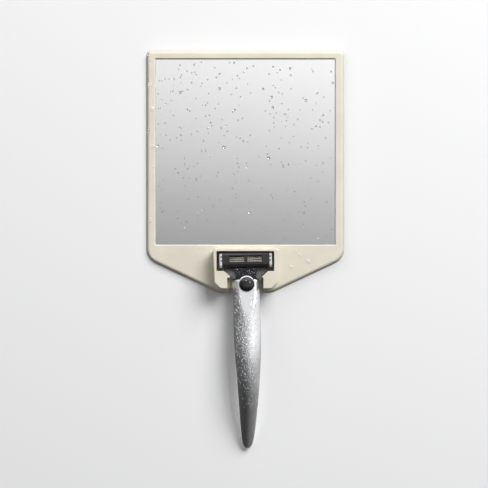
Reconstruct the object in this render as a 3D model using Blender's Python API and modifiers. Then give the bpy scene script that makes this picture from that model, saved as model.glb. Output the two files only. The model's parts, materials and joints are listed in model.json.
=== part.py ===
"""A fogless shower mirror with a razor hanging in its holder, as separate pieces.

Units are metres, +Z is up and the front faces -Y. The wall is the plane Y = 0. The origin is on the wall,
behind the middle of the mirror's window. A depth is a distance out from the wall, so it is laid along -Y.
The razor is modelled about its cartridge's pivot and hung in place by one empty.
"""

import math

import bmesh
import bpy
from mathutils import Matrix, Vector

MM = 0.001

# Front frame, seen from the front. Heights are measured from the middle of the window.
FRAME_WIDTH = 148.0 * MM
WINDOW_HEIGHT = 138.2 * MM
SIDE_BORDER = 7.2 * MM
TOP_BORDER = 6.7 * MM
SHOULDER_FALL = 10.7 * MM
CHIN_MARGIN = 3.6 * MM
FOOT_MARGIN = 1.5 * MM
TOP_CORNER_RADIUS = 4.0 * MM
SHOULDER_RADIUS = 12.0 * MM
FOOT_RADIUS = 15.0 * MM
FRAME_EDGE_RADIUS = 2.6 * MM
WINDOW_BEVEL = 1.0 * MM
LIP_OVERLAP = 1.2 * MM

# The layers between the wall and the frame's front, from the wall out
PAD_THICKNESS = 1.0 * MM
BACK_PLATE_THICKNESS = 1.2 * MM
TAPE_THICKNESS = 0.5 * MM
MIRROR_THICKNESS = 1.8 * MM
FILM_THICKNESS = 0.2 * MM
GASKET_THICKNESS = 0.4 * MM
LIP_THICKNESS = 1.5 * MM
GLUE_GAP = 0.1 * MM

# Their margins
REBATE_MARGIN = 1.6 * MM
PAD_MARGIN = 8.0 * MM
GASKET_WIDTH = 1.0 * MM
TAPE_WIDTH = 12.0 * MM
TAPE_INSET = 14.0 * MM
SIDE_GAP = 0.2 * MM

# Chin hollows, behind the chin's front wall
CHIN_WALL = 1.8 * MM
CHIN_RIB = 3.0 * MM
MIDDLE_HOLLOW_MARGIN = 7.7 * MM
MIDDLE_HOLLOW_FLOOR = 5.6 * MM
SCREW_PILLAR_WIDTH = 8.0 * MM
SIDE_HOLLOW_MARGIN = 12.0 * MM
SIDE_HOLLOW_WALL = 4.2 * MM
HOLLOW_CORNER_RADIUS = 1.5 * MM

# Screws that close the frame from behind
SCREW_SHANK_RADIUS = 0.8 * MM
SCREW_HEAD_RADIUS = 1.6 * MM
SCREW_HEAD_HEIGHT = 0.8 * MM
SCREW_LENGTH = 4.6 * MM
SCREW_TIP_LENGTH = 0.6 * MM
SCREW_CLEARANCE = 0.15 * MM
CORNER_SCREW_INSET = 3.8 * MM
SHOULDER_SCREW_INSET = 8.0 * MM
SHOULDER_SCREW_RISE = 3.8 * MM
FOOT_SCREW_RISE = 13.2 * MM

# Screws that hold the cradle from inside the chin
CRADLE_SCREW_MARGIN = 4.15 * MM
CRADLE_SCREW_FALL = 7.3 * MM
CRADLE_SCREW_SHANK_RADIUS = 1.1 * MM
CRADLE_SCREW_HEAD_RADIUS = 2.2 * MM
CRADLE_SCREW_HEAD_HEIGHT = 1.4 * MM
CRADLE_SCREW_LENGTH = 9.0 * MM
RECESS_LENGTH_SHARE = 1.2
RECESS_WIDTH_SHARE = 0.34
RECESS_DEPTH_SHARE = 0.55

# Razor cradle, seen from the front. Its pocket fits the cartridge and its hooks fit the yoke.
CRADLE_TOP_FALL = 2.8 * MM
CRADLE_TOP_MARGIN = 3.1 * MM
CRADLE_WAIST_MARGIN = 1.6 * MM
CRADLE_WAIST_FALL = 7.6 * MM
CRADLE_FOOT_TUCK = 3.0 * MM
CRADLE_FOOT_FALL = 12.7 * MM
CRADLE_CORNER_RADIUS = 3.0 * MM
CRADLE_EDGE_RADIUS = 0.9 * MM
CRADLE_TOP_WALL = 1.75 * MM
CRADLE_BACK_WALL = 1.4 * MM
CRADLE_REACH = 14.1 * MM
POCKET_TOP_GAP = 1.35 * MM
POCKET_SIDE_GAP = 0.55 * MM
SHELF_GAP = 1.1 * MM
HANDLE_SIDE_GAP = 0.8 * MM
HOOK_LIP_HEIGHT = 1.1 * MM
HOOK_WIDTH = 4.05 * MM
SEAT_ANGLE = math.radians(40)
SEAT_SLOPE = math.radians(4)
SEAT_GAP = 0.45 * MM
CAVITY_CORNER_RADIUS = 0.8 * MM
CAVITY_EDGE_RADIUS = 0.4 * MM
HOOK_TIP_RADIUS = 0.27 * MM

# How the razor hangs
RAZOR_SIDE_SHIFT = 0.4 * MM
PIVOT_STANDOFF = 6.3 * MM
RAZOR_LEAN = math.radians(-1.1)

# Cartridge, about its pivot
CARTRIDGE_WIDTH = 40.5 * MM
CARTRIDGE_RISE = 9.2 * MM
CARTRIDGE_FALL = 1.8 * MM
GUARD_REACH = 4.9 * MM
CAP_REACH = 3.3 * MM
CARTRIDGE_BACK = 1.8 * MM
CAP_CORNER_RADIUS = 1.2 * MM
BACK_SHOULDER_SHARE = 0.45
BAY_END_WALL = 2.95 * MM
BAY_TOP_WALL = 2.1 * MM
BLADE_BAY_FLOOR = 1.0 * MM
BLADE_BAY_BACK = 0.9 * MM
RINSE_WINDOW_STRUT = 2.4 * MM
RINSE_WINDOW_MARGIN = 0.7 * MM
RINSE_WINDOW_END = 2.6 * MM
BLADE_THICKNESS = 0.35 * MM
BLADE_DEPTH = 2.4 * MM
BLADE_TILT = math.radians(22)
BLADE_COUNT = 3
FIRST_BLADE_RISE = 2.2 * MM
LAST_BLADE_MARGIN = 1.2 * MM
STRIP_HEIGHT = 1.5 * MM
STRIP_DEPTH = 1.1 * MM
STRIP_INSET = 0.3 * MM
STRIP_STANDOUT = 0.3 * MM
GUARD_HEIGHT = 2.1 * MM
GUARD_DEPTH = 1.2 * MM
FIT_GAP = 0.1 * MM
CLIP_WIDTH = 1.9 * MM
CLIP_SHOULDER = 0.9 * MM
CLIP_THICKNESS = 0.35 * MM
HEEL_WIDTH = 5.0 * MM
HEEL_BACK = 3.4 * MM
HEEL_FALL = 1.0 * MM
HEEL_RISE = 2.0 * MM

# Yoke that carries the cartridge
YOKE_TOP_FALL = 2.2 * MM
YOKE_SIDE_HEIGHT = 1.4 * MM
YOKE_BOTTOM_FALL = 9.7 * MM
YOKE_BACK = 5.4 * MM
YOKE_FRONT = 1.4 * MM
YOKE_EDGE_RADIUS = 0.5 * MM
EAR_INSET = 5.85 * MM
EAR_THICKNESS = 1.6 * MM
EAR_MARGIN = 0.4 * MM
EAR_RADIUS = 1.45 * MM
EAR_ROUNDING_SHARE = 0.98
PIVOT_PIN_RADIUS = 0.75 * MM
PIVOT_PIN_REACH = 2.0 * MM
RUNNING_GAP = 0.35 * MM
HEEL_WELL_DEPTH = 0.9 * MM

# Connector core in the handle's socket, with its tongue in the yoke
CORE_SIDE_WALL = 4.7 * MM
CORE_THICKNESS = 3.4 * MM
CORE_SOCKET_DEPTH = 11.7 * MM
CORE_DEPTH = 2.4 * MM
TONGUE_STEP = 0.9 * MM
TONGUE_TOP_FALL = 4.2 * MM
CORE_GAP = 0.3 * MM

# Return plunger and its spring
PLUNGER_RADIUS = 0.85 * MM
PLUNGER_SPRING_ROOM = 7.2 * MM
BORE_END_WALL = 2.3 * MM
BORE_GAP = 0.2 * MM
HEEL_GAP = 0.3 * MM
SPRING_COIL_RADIUS = 0.68 * MM
SPRING_WIRE_RADIUS = 0.15 * MM
SPRING_TURNS = 6

# Handle, from its top to its tip. Shares run along its length.
HANDLE_TOP_GAP = 0.6 * MM
HANDLE_LENGTH = 126.5 * MM
HANDLE_WIDTH = 20.8 * MM
HANDLE_SPAN = 26.2 * MM
TIP_STANDOFF = 0.9 * MM
FALL_SHARES = (0.0, 0.005, 0.013, 0.035, 0.091, 0.151, 0.217, 0.296, 0.383, 0.470,
               0.557, 0.645, 0.734, 0.824, 0.888, 0.947, 0.983, 0.997, 1.0)
WIDTH_SHARES = (0.80, 0.90, 0.965, 1.0, 0.965, 0.945, 0.955, 0.965, 0.950, 0.902,
                0.822, 0.755, 0.672, 0.580, 0.505, 0.415, 0.290, 0.160, 0.070)
BACK_SHARES = (0.328, 0.328, 0.328, 0.328, 0.336, 0.363, 0.393, 0.431, 0.466, 0.492,
               0.492, 0.454, 0.363, 0.237, 0.141, 0.045, 0.010, 0.003, 0.012)
FRONT_SHARES = (0.767, 0.770, 0.775, 0.785, 0.813, 0.836, 0.863, 0.908, 0.966, 1.0,
                0.977, 0.905, 0.767, 0.588, 0.454, 0.302, 0.191, 0.126, 0.088)
WIDEST_SHARE = 0.42
FRONT_CURVE_SHARES = (1.5, 0.8)
BACK_CURVE_SHARES = (3.0, 0.42)
FACET_LENGTH = 27.2 * MM
FACET_TILT = math.radians(12)
SECTION_STEPS = 22

# Release button, about its centre on the facet
BUTTON_FALL = 3.4 * MM
BUTTON_RADIUS = 5.5 * MM
BUTTON_HEIGHT = 2.4 * MM
RIM_RADIUS = 6.0 * MM
RIM_THICKNESS = 0.9 * MM
RIM_BORE_RADIUS = 2.2 * MM
BUTTON_GAP = 0.2 * MM
STEM_RADIUS = 1.5 * MM
SLIDER_WIDTH = 4.6 * MM
SLIDER_THICKNESS = 1.1 * MM
SLIDER_COVER = 0.9 * MM
SLIDER_RISE = 1.2 * MM
SLIDER_FALL = 5.0 * MM
SLIDER_GAP = 0.15 * MM
BUTTON_SPRING_LENGTH = 3.0 * MM
BUTTON_SPRING_RADIUS = 0.36 * MM
BUTTON_SPRING_WIRE = 0.1 * MM
BUTTON_SPRING_TURNS = 5

# Drawing aids
ARC_STEP = math.radians(15)
SHARP_RADIUS = 0.15 * MM
OVERRUN = 2.0 * MM
ROUND_SEGMENTS = 20
DOME_STEPS = 5
COIL_STEPS = 10
WELD_DISTANCE = 0.001 * MM

# Depths of the layers
PLATE_BACK = PAD_THICKNESS + GLUE_GAP
PLATE_FRONT = PLATE_BACK + BACK_PLATE_THICKNESS
TAPE_BACK = PLATE_FRONT + GLUE_GAP
TAPE_FRONT = TAPE_BACK + TAPE_THICKNESS
MIRROR_BACK = TAPE_FRONT + GLUE_GAP
MIRROR_FRONT = MIRROR_BACK + MIRROR_THICKNESS
FILM_BACK = MIRROR_FRONT + GLUE_GAP
FILM_FRONT = FILM_BACK + FILM_THICKNESS
GASKET_BACK = FILM_FRONT + GLUE_GAP
GASKET_FRONT = GASKET_BACK + GASKET_THICKNESS
LIP_BACK = GASKET_FRONT + GLUE_GAP
FRAME_FRONT = LIP_BACK + LIP_THICKNESS
CHIN_INNER = FRAME_FRONT - CHIN_WALL
CRADLE_BACK = FRAME_FRONT + GLUE_GAP
POCKET_BACK = CRADLE_BACK + CRADLE_BACK_WALL
CRADLE_FRONT = CRADLE_BACK + CRADLE_REACH
PIVOT_DEPTH = POCKET_BACK + PIVOT_STANDOFF

# The razor's widths and lengths, which follow the cartridge and the handle
BLADE_BAY_WIDTH = CARTRIDGE_WIDTH - 2 * BAY_END_WALL
BLADE_BAY_TOP = CARTRIDGE_RISE - BAY_TOP_WALL
BLADE_PITCH = (BLADE_BAY_TOP - LAST_BLADE_MARGIN - FIRST_BLADE_RISE) / (BLADE_COUNT - 1)
STRIP_WIDTH = BLADE_BAY_WIDTH - 2 * STRIP_INSET
EAR_INNER = CARTRIDGE_WIDTH / 2 - EAR_INSET
RINSE_WINDOW_WIDTH = EAR_INNER - RINSE_WINDOW_STRUT / 2 - RINSE_WINDOW_END
YOKE_WIDTH = 2 * (EAR_INNER + EAR_THICKNESS + EAR_MARGIN)
HANDLE_TOP_FALL = YOKE_BOTTOM_FALL + HANDLE_TOP_GAP
CORE_WIDTH = HANDLE_WIDTH - 2 * CORE_SIDE_WALL
CORE_FALL = HANDLE_TOP_FALL + CORE_SOCKET_DEPTH
TONGUE_WIDTH = CORE_WIDTH - 2 * TONGUE_STEP
PLUNGER_BORE_LENGTH = CORE_FALL - HEEL_FALL - HEEL_GAP - BORE_END_WALL
PLUNGER_LENGTH = PLUNGER_BORE_LENGTH - PLUNGER_SPRING_ROOM

# The cradle's widths and drops, which follow the razor and the window
POCKET_WIDTH = CARTRIDGE_WIDTH + 2 * (POCKET_SIDE_GAP + RAZOR_SIDE_SHIFT)
CRADLE_TOP_WIDTH = POCKET_WIDTH + 2 * CRADLE_TOP_MARGIN
CRADLE_WAIST_WIDTH = POCKET_WIDTH + 2 * CRADLE_WAIST_MARGIN
CRADLE_FOOT_WIDTH = POCKET_WIDTH - 2 * CRADLE_FOOT_TUCK
LOWER_SLOT_WIDTH = CRADLE_FOOT_WIDTH - 2 * HOOK_WIDTH
HOOK_SLOT_WIDTH = HANDLE_WIDTH + 2 * HANDLE_SIDE_GAP
CRADLE_TOP_DROP = WINDOW_HEIGHT / 2 + CRADLE_TOP_FALL
PIVOT_DROP = CRADLE_TOP_DROP + CRADLE_TOP_WALL + POCKET_TOP_GAP + CARTRIDGE_RISE
SHELF_DROP = PIVOT_DROP + YOKE_TOP_FALL + YOKE_SIDE_HEIGHT + SHELF_GAP
CRADLE_WAIST_DROP = SHELF_DROP + CRADLE_WAIST_FALL
CRADLE_FOOT_DROP = SHELF_DROP + CRADLE_FOOT_FALL
CRADLE_SCREW_SPREAD = LOWER_SLOT_WIDTH / 2 + CRADLE_SCREW_MARGIN
CRADLE_SCREW_DROP = SHELF_DROP + CRADLE_SCREW_FALL

# The frame's outline and hollows, which follow the window and the cradle
WINDOW_WIDTH = FRAME_WIDTH - 2 * SIDE_BORDER
FRAME_TOP = WINDOW_HEIGHT / 2 + TOP_BORDER
SHOULDER_DROP = WINDOW_HEIGHT / 2 + SHOULDER_FALL
CHIN_DROP = CRADLE_FOOT_DROP + CHIN_MARGIN
FOOT_WIDTH = CRADLE_FOOT_WIDTH + 2 * FOOT_MARGIN
MIRROR_WIDTH = WINDOW_WIDTH + 2 * LIP_OVERLAP
MIRROR_HEIGHT = WINDOW_HEIGHT + 2 * LIP_OVERLAP
MIDDLE_HOLLOW_WIDTH = 2 * (CRADLE_SCREW_SPREAD + MIDDLE_HOLLOW_MARGIN)
SIDE_HOLLOW_INNER = MIDDLE_HOLLOW_WIDTH / 2 + SCREW_PILLAR_WIDTH
SIDE_HOLLOW_OUTER = FRAME_WIDTH / 2 - SIDE_HOLLOW_MARGIN
SHOULDER_SCREW_DROP = SHOULDER_DROP - SHOULDER_SCREW_RISE
FOOT_SCREW_SPREAD = (MIDDLE_HOLLOW_WIDTH + SCREW_PILLAR_WIDTH) / 2
FOOT_SCREW_DROP = CHIN_DROP - FOOT_SCREW_RISE

# Colours from the photograph: red, green, blue, roughness, metallic
CREAM = ("cream", (0.73, 0.69, 0.60), 0.42, 0.0)
BACK_CREAM = ("back_cream", (0.66, 0.62, 0.54), 0.55, 0.0)
SILVERED = ("silvered", (0.85, 0.86, 0.87), 0.03, 1.0)
CLEAR_FILM = ("clear_film", (0.80, 0.83, 0.85), 0.08, 0.0)
GREY_RUBBER = ("grey_rubber", (0.22, 0.22, 0.22), 0.80, 0.0)
WHITE_FOAM = ("white_foam", (0.80, 0.80, 0.78), 0.90, 0.0)
STEEL = ("steel", (0.62, 0.63, 0.65), 0.30, 1.0)
SATIN_SILVER = ("satin_silver", (0.72, 0.72, 0.73), 0.32, 0.9)
BLUE_GREY = ("blue_grey", (0.085, 0.090, 0.115), 0.45, 0.0)
BLACK_PLASTIC = ("black_plastic", (0.015, 0.015, 0.017), 0.35, 0.0)
BLACK_RUBBER = ("black_rubber", (0.020, 0.020, 0.022), 0.60, 0.0)
GREY_STRIP = ("grey_strip", (0.30, 0.29, 0.33), 0.50, 0.0)


def material(finish):
    """Return the material for one finish, made the first time it is asked for."""
    name, colour, roughness, metallic = finish
    found = bpy.data.materials.get(name)
    if found:
        return found
    made = bpy.data.materials.new(name)
    made.use_nodes = True
    shader = made.node_tree.nodes["Principled BSDF"]
    shader.inputs["Base Color"].default_value = (*colour, 1.0)
    shader.inputs["Roughness"].default_value = roughness
    shader.inputs["Metallic"].default_value = metallic
    return made


def clear_scene():
    """Remove every object of the scene."""
    for old in list(bpy.data.objects):
        bpy.data.objects.remove(old, do_unlink=True)


def new_collection(name):
    """Add a collection to the scene."""
    made = bpy.data.collections.new(name)
    bpy.context.scene.collection.children.link(made)
    return made


clear_scene()
PARTS = new_collection("shower_mirror")
CUTTERS = new_collection("cutters")


def empty(name, place=Matrix.Identity(4), parent=None):
    """Add an empty that carries other objects."""
    made = bpy.data.objects.new(name, None)
    made.matrix_basis = place
    made.parent = parent
    PARTS.objects.link(made)
    return made


def piece(name, mesh, finish, parent=None, place=Matrix.Identity(4)):
    """Add one named piece of the product, shaded smooth up to its sharp edges."""
    mesh.name = name
    made = bpy.data.objects.new(name, mesh)
    made.matrix_basis = place
    made.parent = parent
    PARTS.objects.link(made)
    mesh.materials.clear()
    mesh.materials.append(material(finish))
    mesh.shade_smooth()
    mesh.set_sharp_from_angle(angle=math.radians(35))
    return made


def tool(name, mesh, parent=None, place=Matrix.Identity(4)):
    """Add a hidden solid that cuts or joins another piece."""
    made = bpy.data.objects.new(name, mesh)
    made.matrix_basis = place
    made.parent = parent
    made.hide_render = True
    made.display_type = "WIRE"
    CUTTERS.objects.link(made)
    return made


def combine(target, other, operation="DIFFERENCE"):
    """Cut a tool away from a piece, or join it on."""
    change = target.modifiers.new(other.name, "BOOLEAN")
    change.operation = operation
    change.object = other
    return change


def round_edges(target, width, segments=2, method="ANGLE"):
    """Round a piece's edges."""
    bevel = target.modifiers.new("edge_rounding", "BEVEL")
    bevel.width = width
    bevel.segments = segments
    bevel.limit_method = method
    bevel.angle_limit = math.radians(40)


def corner_arc(before, corner, after, radius):
    """Return the points that round one corner of an outline."""
    to_before = (before - corner).normalized()
    to_after = (after - corner).normalized()
    opening = to_before.angle(to_after)
    turn = math.pi - opening
    if turn < ARC_STEP / 2 or radius < SHARP_RADIUS:
        return [corner.copy()]
    reach = radius / math.tan(opening / 2)
    centre = corner + (to_before + to_after).normalized() * radius / math.sin(opening / 2)
    start = corner + to_before * reach - centre
    sweep = math.copysign(turn, to_before.cross(to_after)) * -1
    steps = max(2, round(turn / ARC_STEP))
    return [centre + Matrix.Rotation(sweep * step / steps, 2) @ start for step in range(steps + 1)]


def rounded(corners):
    """Return the points of a closed outline from corners given as (across, up, radius)."""
    points = [Vector(corner[:2]) for corner in corners]
    count = len(points)
    outline = []
    for index, corner in enumerate(corners):
        outline += corner_arc(points[index - 1], points[index], points[(index + 1) % count], corner[2])
    return outline


def inset(corners, distance):
    """Return the corners of an outline moved inwards, or outwards for a distance below zero.

    The corners run anticlockwise.
    """
    points = [Vector(corner[:2]) for corner in corners]
    count = len(points)
    moved = []
    for index, corner in enumerate(corners):
        before = (points[index] - points[index - 1]).normalized()
        after = (points[(index + 1) % count] - points[index]).normalized()
        inward_before = Vector((-before.y, before.x))
        inward_after = Vector((-after.y, after.x))
        shift = (inward_before + inward_after) / (1 + inward_before.dot(inward_after))
        place = points[index] + shift * distance
        radius = corner[2] - distance if before.cross(after) > 0 else corner[2] + distance
        moved.append((place.x, place.y, max(radius, 0)))
    return moved


def mirrored(right_half):
    """Return an anticlockwise outline from its right half, listed from the bottom up."""
    left_half = [(-across, up, radius) for across, up, radius in reversed(right_half)]
    return right_half + left_half


def box_corners(width, low, high, radius=0.0, centre=0.0):
    """Return the corners of an upright rectangle, anticlockwise."""
    left = centre - width / 2
    right = centre + width / 2
    return [(left, low, radius), (right, low, radius), (right, high, radius), (left, high, radius)]


def lies_at(face, axis, level):
    """Tell whether every corner of a face lies at one level of an axis."""
    return all(abs(getattr(corner.co, axis) - level) < WELD_DISTANCE for corner in face.verts)


def flat_solid(name, loops, thickness):
    """Return the mesh of flat outlines given in X and Y and made solid along Z, centred on Z = 0."""
    curve = bpy.data.curves.new(name, "CURVE")
    curve.dimensions = "2D"
    curve.fill_mode = "BOTH"
    curve.extrude = thickness / 2
    for corners in loops:
        outline = rounded(corners)
        spline = curve.splines.new("POLY")
        spline.points.add(len(outline) - 1)
        for point, place in zip(spline.points, outline):
            point.co = (place.x, place.y, 0.0, 1.0)
        spline.use_cyclic_u = True
    carrier = bpy.data.objects.new(name + "_outline", curve)
    bpy.context.scene.collection.objects.link(carrier)
    bpy.context.view_layer.update()
    seen = carrier.evaluated_get(bpy.context.evaluated_depsgraph_get())
    mesh = bpy.data.meshes.new_from_object(seen)
    bpy.data.objects.remove(carrier, do_unlink=True)
    bpy.data.curves.remove(curve)
    edit = bmesh.new()
    edit.from_mesh(mesh)
    bmesh.ops.remove_doubles(edit, verts=edit.verts, dist=WELD_DISTANCE)
    if len(loops) == 1:
        for side in (-1, 1):
            level = side * thickness / 2
            cap = [face for face in edit.faces if lies_at(face, "z", level)]
            bmesh.ops.dissolve_faces(edit, faces=cap)
    bmesh.ops.recalc_face_normals(edit, faces=edit.faces)
    edit.to_mesh(mesh)
    edit.free()
    return mesh


def standing(name, loops, back, front):
    """Return the mesh of outlines given across and up, filling the depths from back to front."""
    mesh = flat_solid(name, loops, front - back)
    upright = Matrix.Rotation(math.radians(90), 4, "X")
    mesh.transform(Matrix.Translation((0, -(back + front) / 2, 0)) @ upright)
    return mesh


def crosswise(name, loops, left, right):
    """Return the mesh of outlines given out from the wall and up, filling the width from left to right."""
    mesh = flat_solid(name, loops, right - left)
    turn = Matrix(((0, 0, -1, 0), (-1, 0, 0, 0), (0, 1, 0, 0), (0, 0, 0, 1)))
    mesh.transform(Matrix.Translation(((left + right) / 2, 0, 0)) @ turn)
    return mesh


def block(low, high):
    """Return the mesh of a box between two corners."""
    edit = bmesh.new()
    bmesh.ops.create_cube(edit, size=1.0)
    size = Vector(high) - Vector(low)
    middle = (Vector(high) + Vector(low)) / 2
    bmesh.ops.scale(edit, vec=size, verts=edit.verts)
    bmesh.ops.translate(edit, vec=middle, verts=edit.verts)
    mesh = bpy.data.meshes.new("block")
    edit.to_mesh(mesh)
    edit.free()
    return mesh


def rod(radius, length, place, end_radius=None):
    """Return the mesh of a cylinder or cone along its own Z, centred, moved to a place."""
    edit = bmesh.new()
    bmesh.ops.create_cone(
        edit, cap_ends=True, segments=ROUND_SEGMENTS, depth=length,
        radius1=radius, radius2=radius if end_radius is None else end_radius,
    )
    bmesh.ops.transform(edit, matrix=place, verts=edit.verts)
    mesh = bpy.data.meshes.new("rod")
    edit.to_mesh(mesh)
    edit.free()
    return mesh


def out_from_wall(across, depth, up):
    """Return the place of something whose own +Z points back to the wall."""
    return Matrix.Translation((across, -depth, up)) @ Matrix.Rotation(math.radians(-90), 4, "X")


def turned(name, profile, finish, parent=None, place=Matrix.Identity(4)):
    """Add a turned piece from a profile of (radius, height), from its top down."""
    mesh = bpy.data.meshes.new(name)
    edit = bmesh.new()
    closed = profile[0] == profile[-1]
    places = profile[:-1] if closed else profile
    corners = [edit.verts.new((radius, 0, height)) for radius, height in places]
    for upper, lower in zip(corners, corners[1:]):
        edit.edges.new((upper, lower))
    if closed:
        edit.edges.new((corners[-1], corners[0]))
    edit.to_mesh(mesh)
    edit.free()
    made = piece(name, mesh, finish, parent, place)
    turn = made.modifiers.new("turning", "SCREW")
    turn.steps = ROUND_SEGMENTS
    turn.render_steps = ROUND_SEGMENTS
    turn.use_merge_vertices = True
    turn.merge_threshold = WELD_DISTANCE
    turn.use_smooth_shade = True
    return made


def mark_front_edges(mesh, front):
    """Give full bevel weight to the outline edges on a mesh's front plane."""
    edit = bmesh.new()
    edit.from_mesh(mesh)
    weight = edit.edges.layers.float.new("bevel_weight_edge")
    for edge in edit.edges:
        on_front = all(abs(corner.co.y + front) < WELD_DISTANCE for corner in edge.verts)
        if on_front and edge.calc_face_angle(0.0) > math.radians(45):
            edge[weight] = 1.0
    edit.to_mesh(mesh)
    edit.free()


def coil(name, finish, radius, wire, turns, low, high, parent, place):
    """Add a helical spring along its own Z, from low to high."""
    count = turns * COIL_STEPS + 1
    curve = bpy.data.curves.new(name, "CURVE")
    curve.dimensions = "3D"
    curve.bevel_depth = wire
    curve.bevel_resolution = 1
    curve.use_fill_caps = True
    spline = curve.splines.new("POLY")
    spline.points.add(count - 1)
    for index, point in enumerate(spline.points):
        angle = 2 * math.pi * index / COIL_STEPS
        height = low + (high - low) * index / (count - 1)
        point.co = (radius * math.cos(angle), radius * math.sin(angle), height, 1.0)
    made = bpy.data.objects.new(name, curve)
    made.matrix_basis = place
    made.parent = parent
    curve.materials.append(material(finish))
    PARTS.objects.link(made)
    return made


def frame_corners():
    """Return the front frame's outline."""
    return mirrored([
        (FOOT_WIDTH / 2, -CHIN_DROP, FOOT_RADIUS),
        (FRAME_WIDTH / 2, -SHOULDER_DROP, SHOULDER_RADIUS),
        (FRAME_WIDTH / 2, FRAME_TOP, TOP_CORNER_RADIUS),
    ])


def screw_places():
    """Return a name, a place across and a place up for each screw of the back plate."""
    high = FRAME_TOP - CORNER_SCREW_INSET
    wide = FRAME_WIDTH / 2 - CORNER_SCREW_INSET
    shoulder = FRAME_WIDTH / 2 - SHOULDER_SCREW_INSET
    right_side = (
        ("top", wide, high),
        ("shoulder", shoulder, -SHOULDER_SCREW_DROP),
        ("foot", FOOT_SCREW_SPREAD, -FOOT_SCREW_DROP),
    )
    for name, across, up in right_side:
        yield name + "_left", -across, up
        yield name + "_right", across, up


def slant_height(across, margin):
    """Return how high a line lies that runs inside the chin's slanted edge by a margin."""
    slope = (CHIN_DROP - SHOULDER_DROP) / ((FRAME_WIDTH - FOOT_WIDTH) / 2)
    rise = margin * math.hypot(1, slope)
    return -CHIN_DROP + slope * (across - FOOT_WIDTH / 2) + rise


def hollow_outlines():
    """Return the outlines of the three hollows behind the chin's front wall."""
    ceiling = -MIRROR_HEIGHT / 2 - CHIN_RIB
    floor = -CHIN_DROP + MIDDLE_HOLLOW_FLOOR
    middle = box_corners(MIDDLE_HOLLOW_WIDTH, floor, ceiling, HOLLOW_CORNER_RADIUS)
    right = [
        (SIDE_HOLLOW_INNER, slant_height(SIDE_HOLLOW_INNER, SIDE_HOLLOW_WALL), HOLLOW_CORNER_RADIUS),
        (SIDE_HOLLOW_OUTER, slant_height(SIDE_HOLLOW_OUTER, SIDE_HOLLOW_WALL), HOLLOW_CORNER_RADIUS),
        (SIDE_HOLLOW_OUTER, ceiling, HOLLOW_CORNER_RADIUS),
        (SIDE_HOLLOW_INNER, ceiling, HOLLOW_CORNER_RADIUS),
    ]
    left = [(-across, up, radius) for across, up, radius in reversed(right)]
    return {"middle": middle, "right": right, "left": left}


def make_front_frame():
    """Build the cream moulding round the mirror, with the chin below it."""
    mesh = standing("front_frame", [frame_corners()], PLATE_BACK, FRAME_FRONT)
    mark_front_edges(mesh, FRAME_FRONT)
    frame = piece("front_frame", mesh, CREAM)
    round_edges(frame, FRAME_EDGE_RADIUS, 4, "WEIGHT")

    rebate = inset(frame_corners(), REBATE_MARGIN)
    combine(frame, tool("cut_rebate", standing("rebate", [rebate], -OVERRUN, TAPE_BACK)))

    half_height = MIRROR_HEIGHT / 2 + SIDE_GAP
    pocket = box_corners(MIRROR_WIDTH + 2 * SIDE_GAP, -half_height, half_height)
    combine(frame, tool("cut_mirror_pocket", standing("pocket", [pocket], -OVERRUN, LIP_BACK)))

    combine(frame, tool("cut_window", window_cutter()))

    for name, outline in hollow_outlines().items():
        hollow = tool("cut_hollow_" + name, standing("hollow", [outline], -OVERRUN, CHIN_INNER))
        combine(frame, hollow)

    pilot_front = PLATE_BACK + SCREW_LENGTH + 2 * SCREW_CLEARANCE
    for name, across, up in screw_places():
        place = out_from_wall(across, pilot_front / 2, up)
        pilot = rod(SCREW_SHANK_RADIUS + SCREW_CLEARANCE, pilot_front, place)
        combine(frame, tool("cut_pilot_" + name, pilot))

    for name, side in (("left", -1), ("right", 1)):
        place = out_from_wall(side * CRADLE_SCREW_SPREAD, FRAME_FRONT, -CRADLE_SCREW_DROP)
        hole = rod(CRADLE_SCREW_SHANK_RADIUS + SCREW_CLEARANCE, 2 * (CHIN_WALL + OVERRUN), place)
        combine(frame, tool("cut_cradle_screw_" + name, hole))


def window_cutter():
    """Return a block as large as the window at the lip's back, and wider at its front."""
    mesh = block(
        (-WINDOW_WIDTH / 2, -FRAME_FRONT, -WINDOW_HEIGHT / 2),
        (WINDOW_WIDTH / 2, 0, WINDOW_HEIGHT / 2),
    )
    for corner in mesh.vertices:
        if corner.co.y < -LIP_BACK:
            corner.co.x += math.copysign(WINDOW_BEVEL, corner.co.x)
            corner.co.z += math.copysign(WINDOW_BEVEL, corner.co.z)
            corner.co.y = -FRAME_FRONT
        else:
            corner.co.y = -LIP_BACK
    edit = bmesh.new()
    edit.from_mesh(mesh)
    for front, depth in ((True, -FRAME_FRONT), (False, -LIP_BACK)):
        caps = [face for face in edit.faces if lies_at(face, "y", depth)]
        grown = bmesh.ops.extrude_face_region(edit, geom=caps)
        moved = [item for item in grown["geom"] if isinstance(item, bmesh.types.BMVert)]
        push = -OVERRUN if front else LIP_BACK
        bmesh.ops.translate(edit, vec=(0, push, 0), verts=moved)
        bmesh.ops.delete(edit, geom=[face for face in caps if face.is_valid], context="FACES_ONLY")
    bmesh.ops.recalc_face_normals(edit, faces=edit.faces)
    edit.to_mesh(mesh)
    edit.free()
    return mesh


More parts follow.
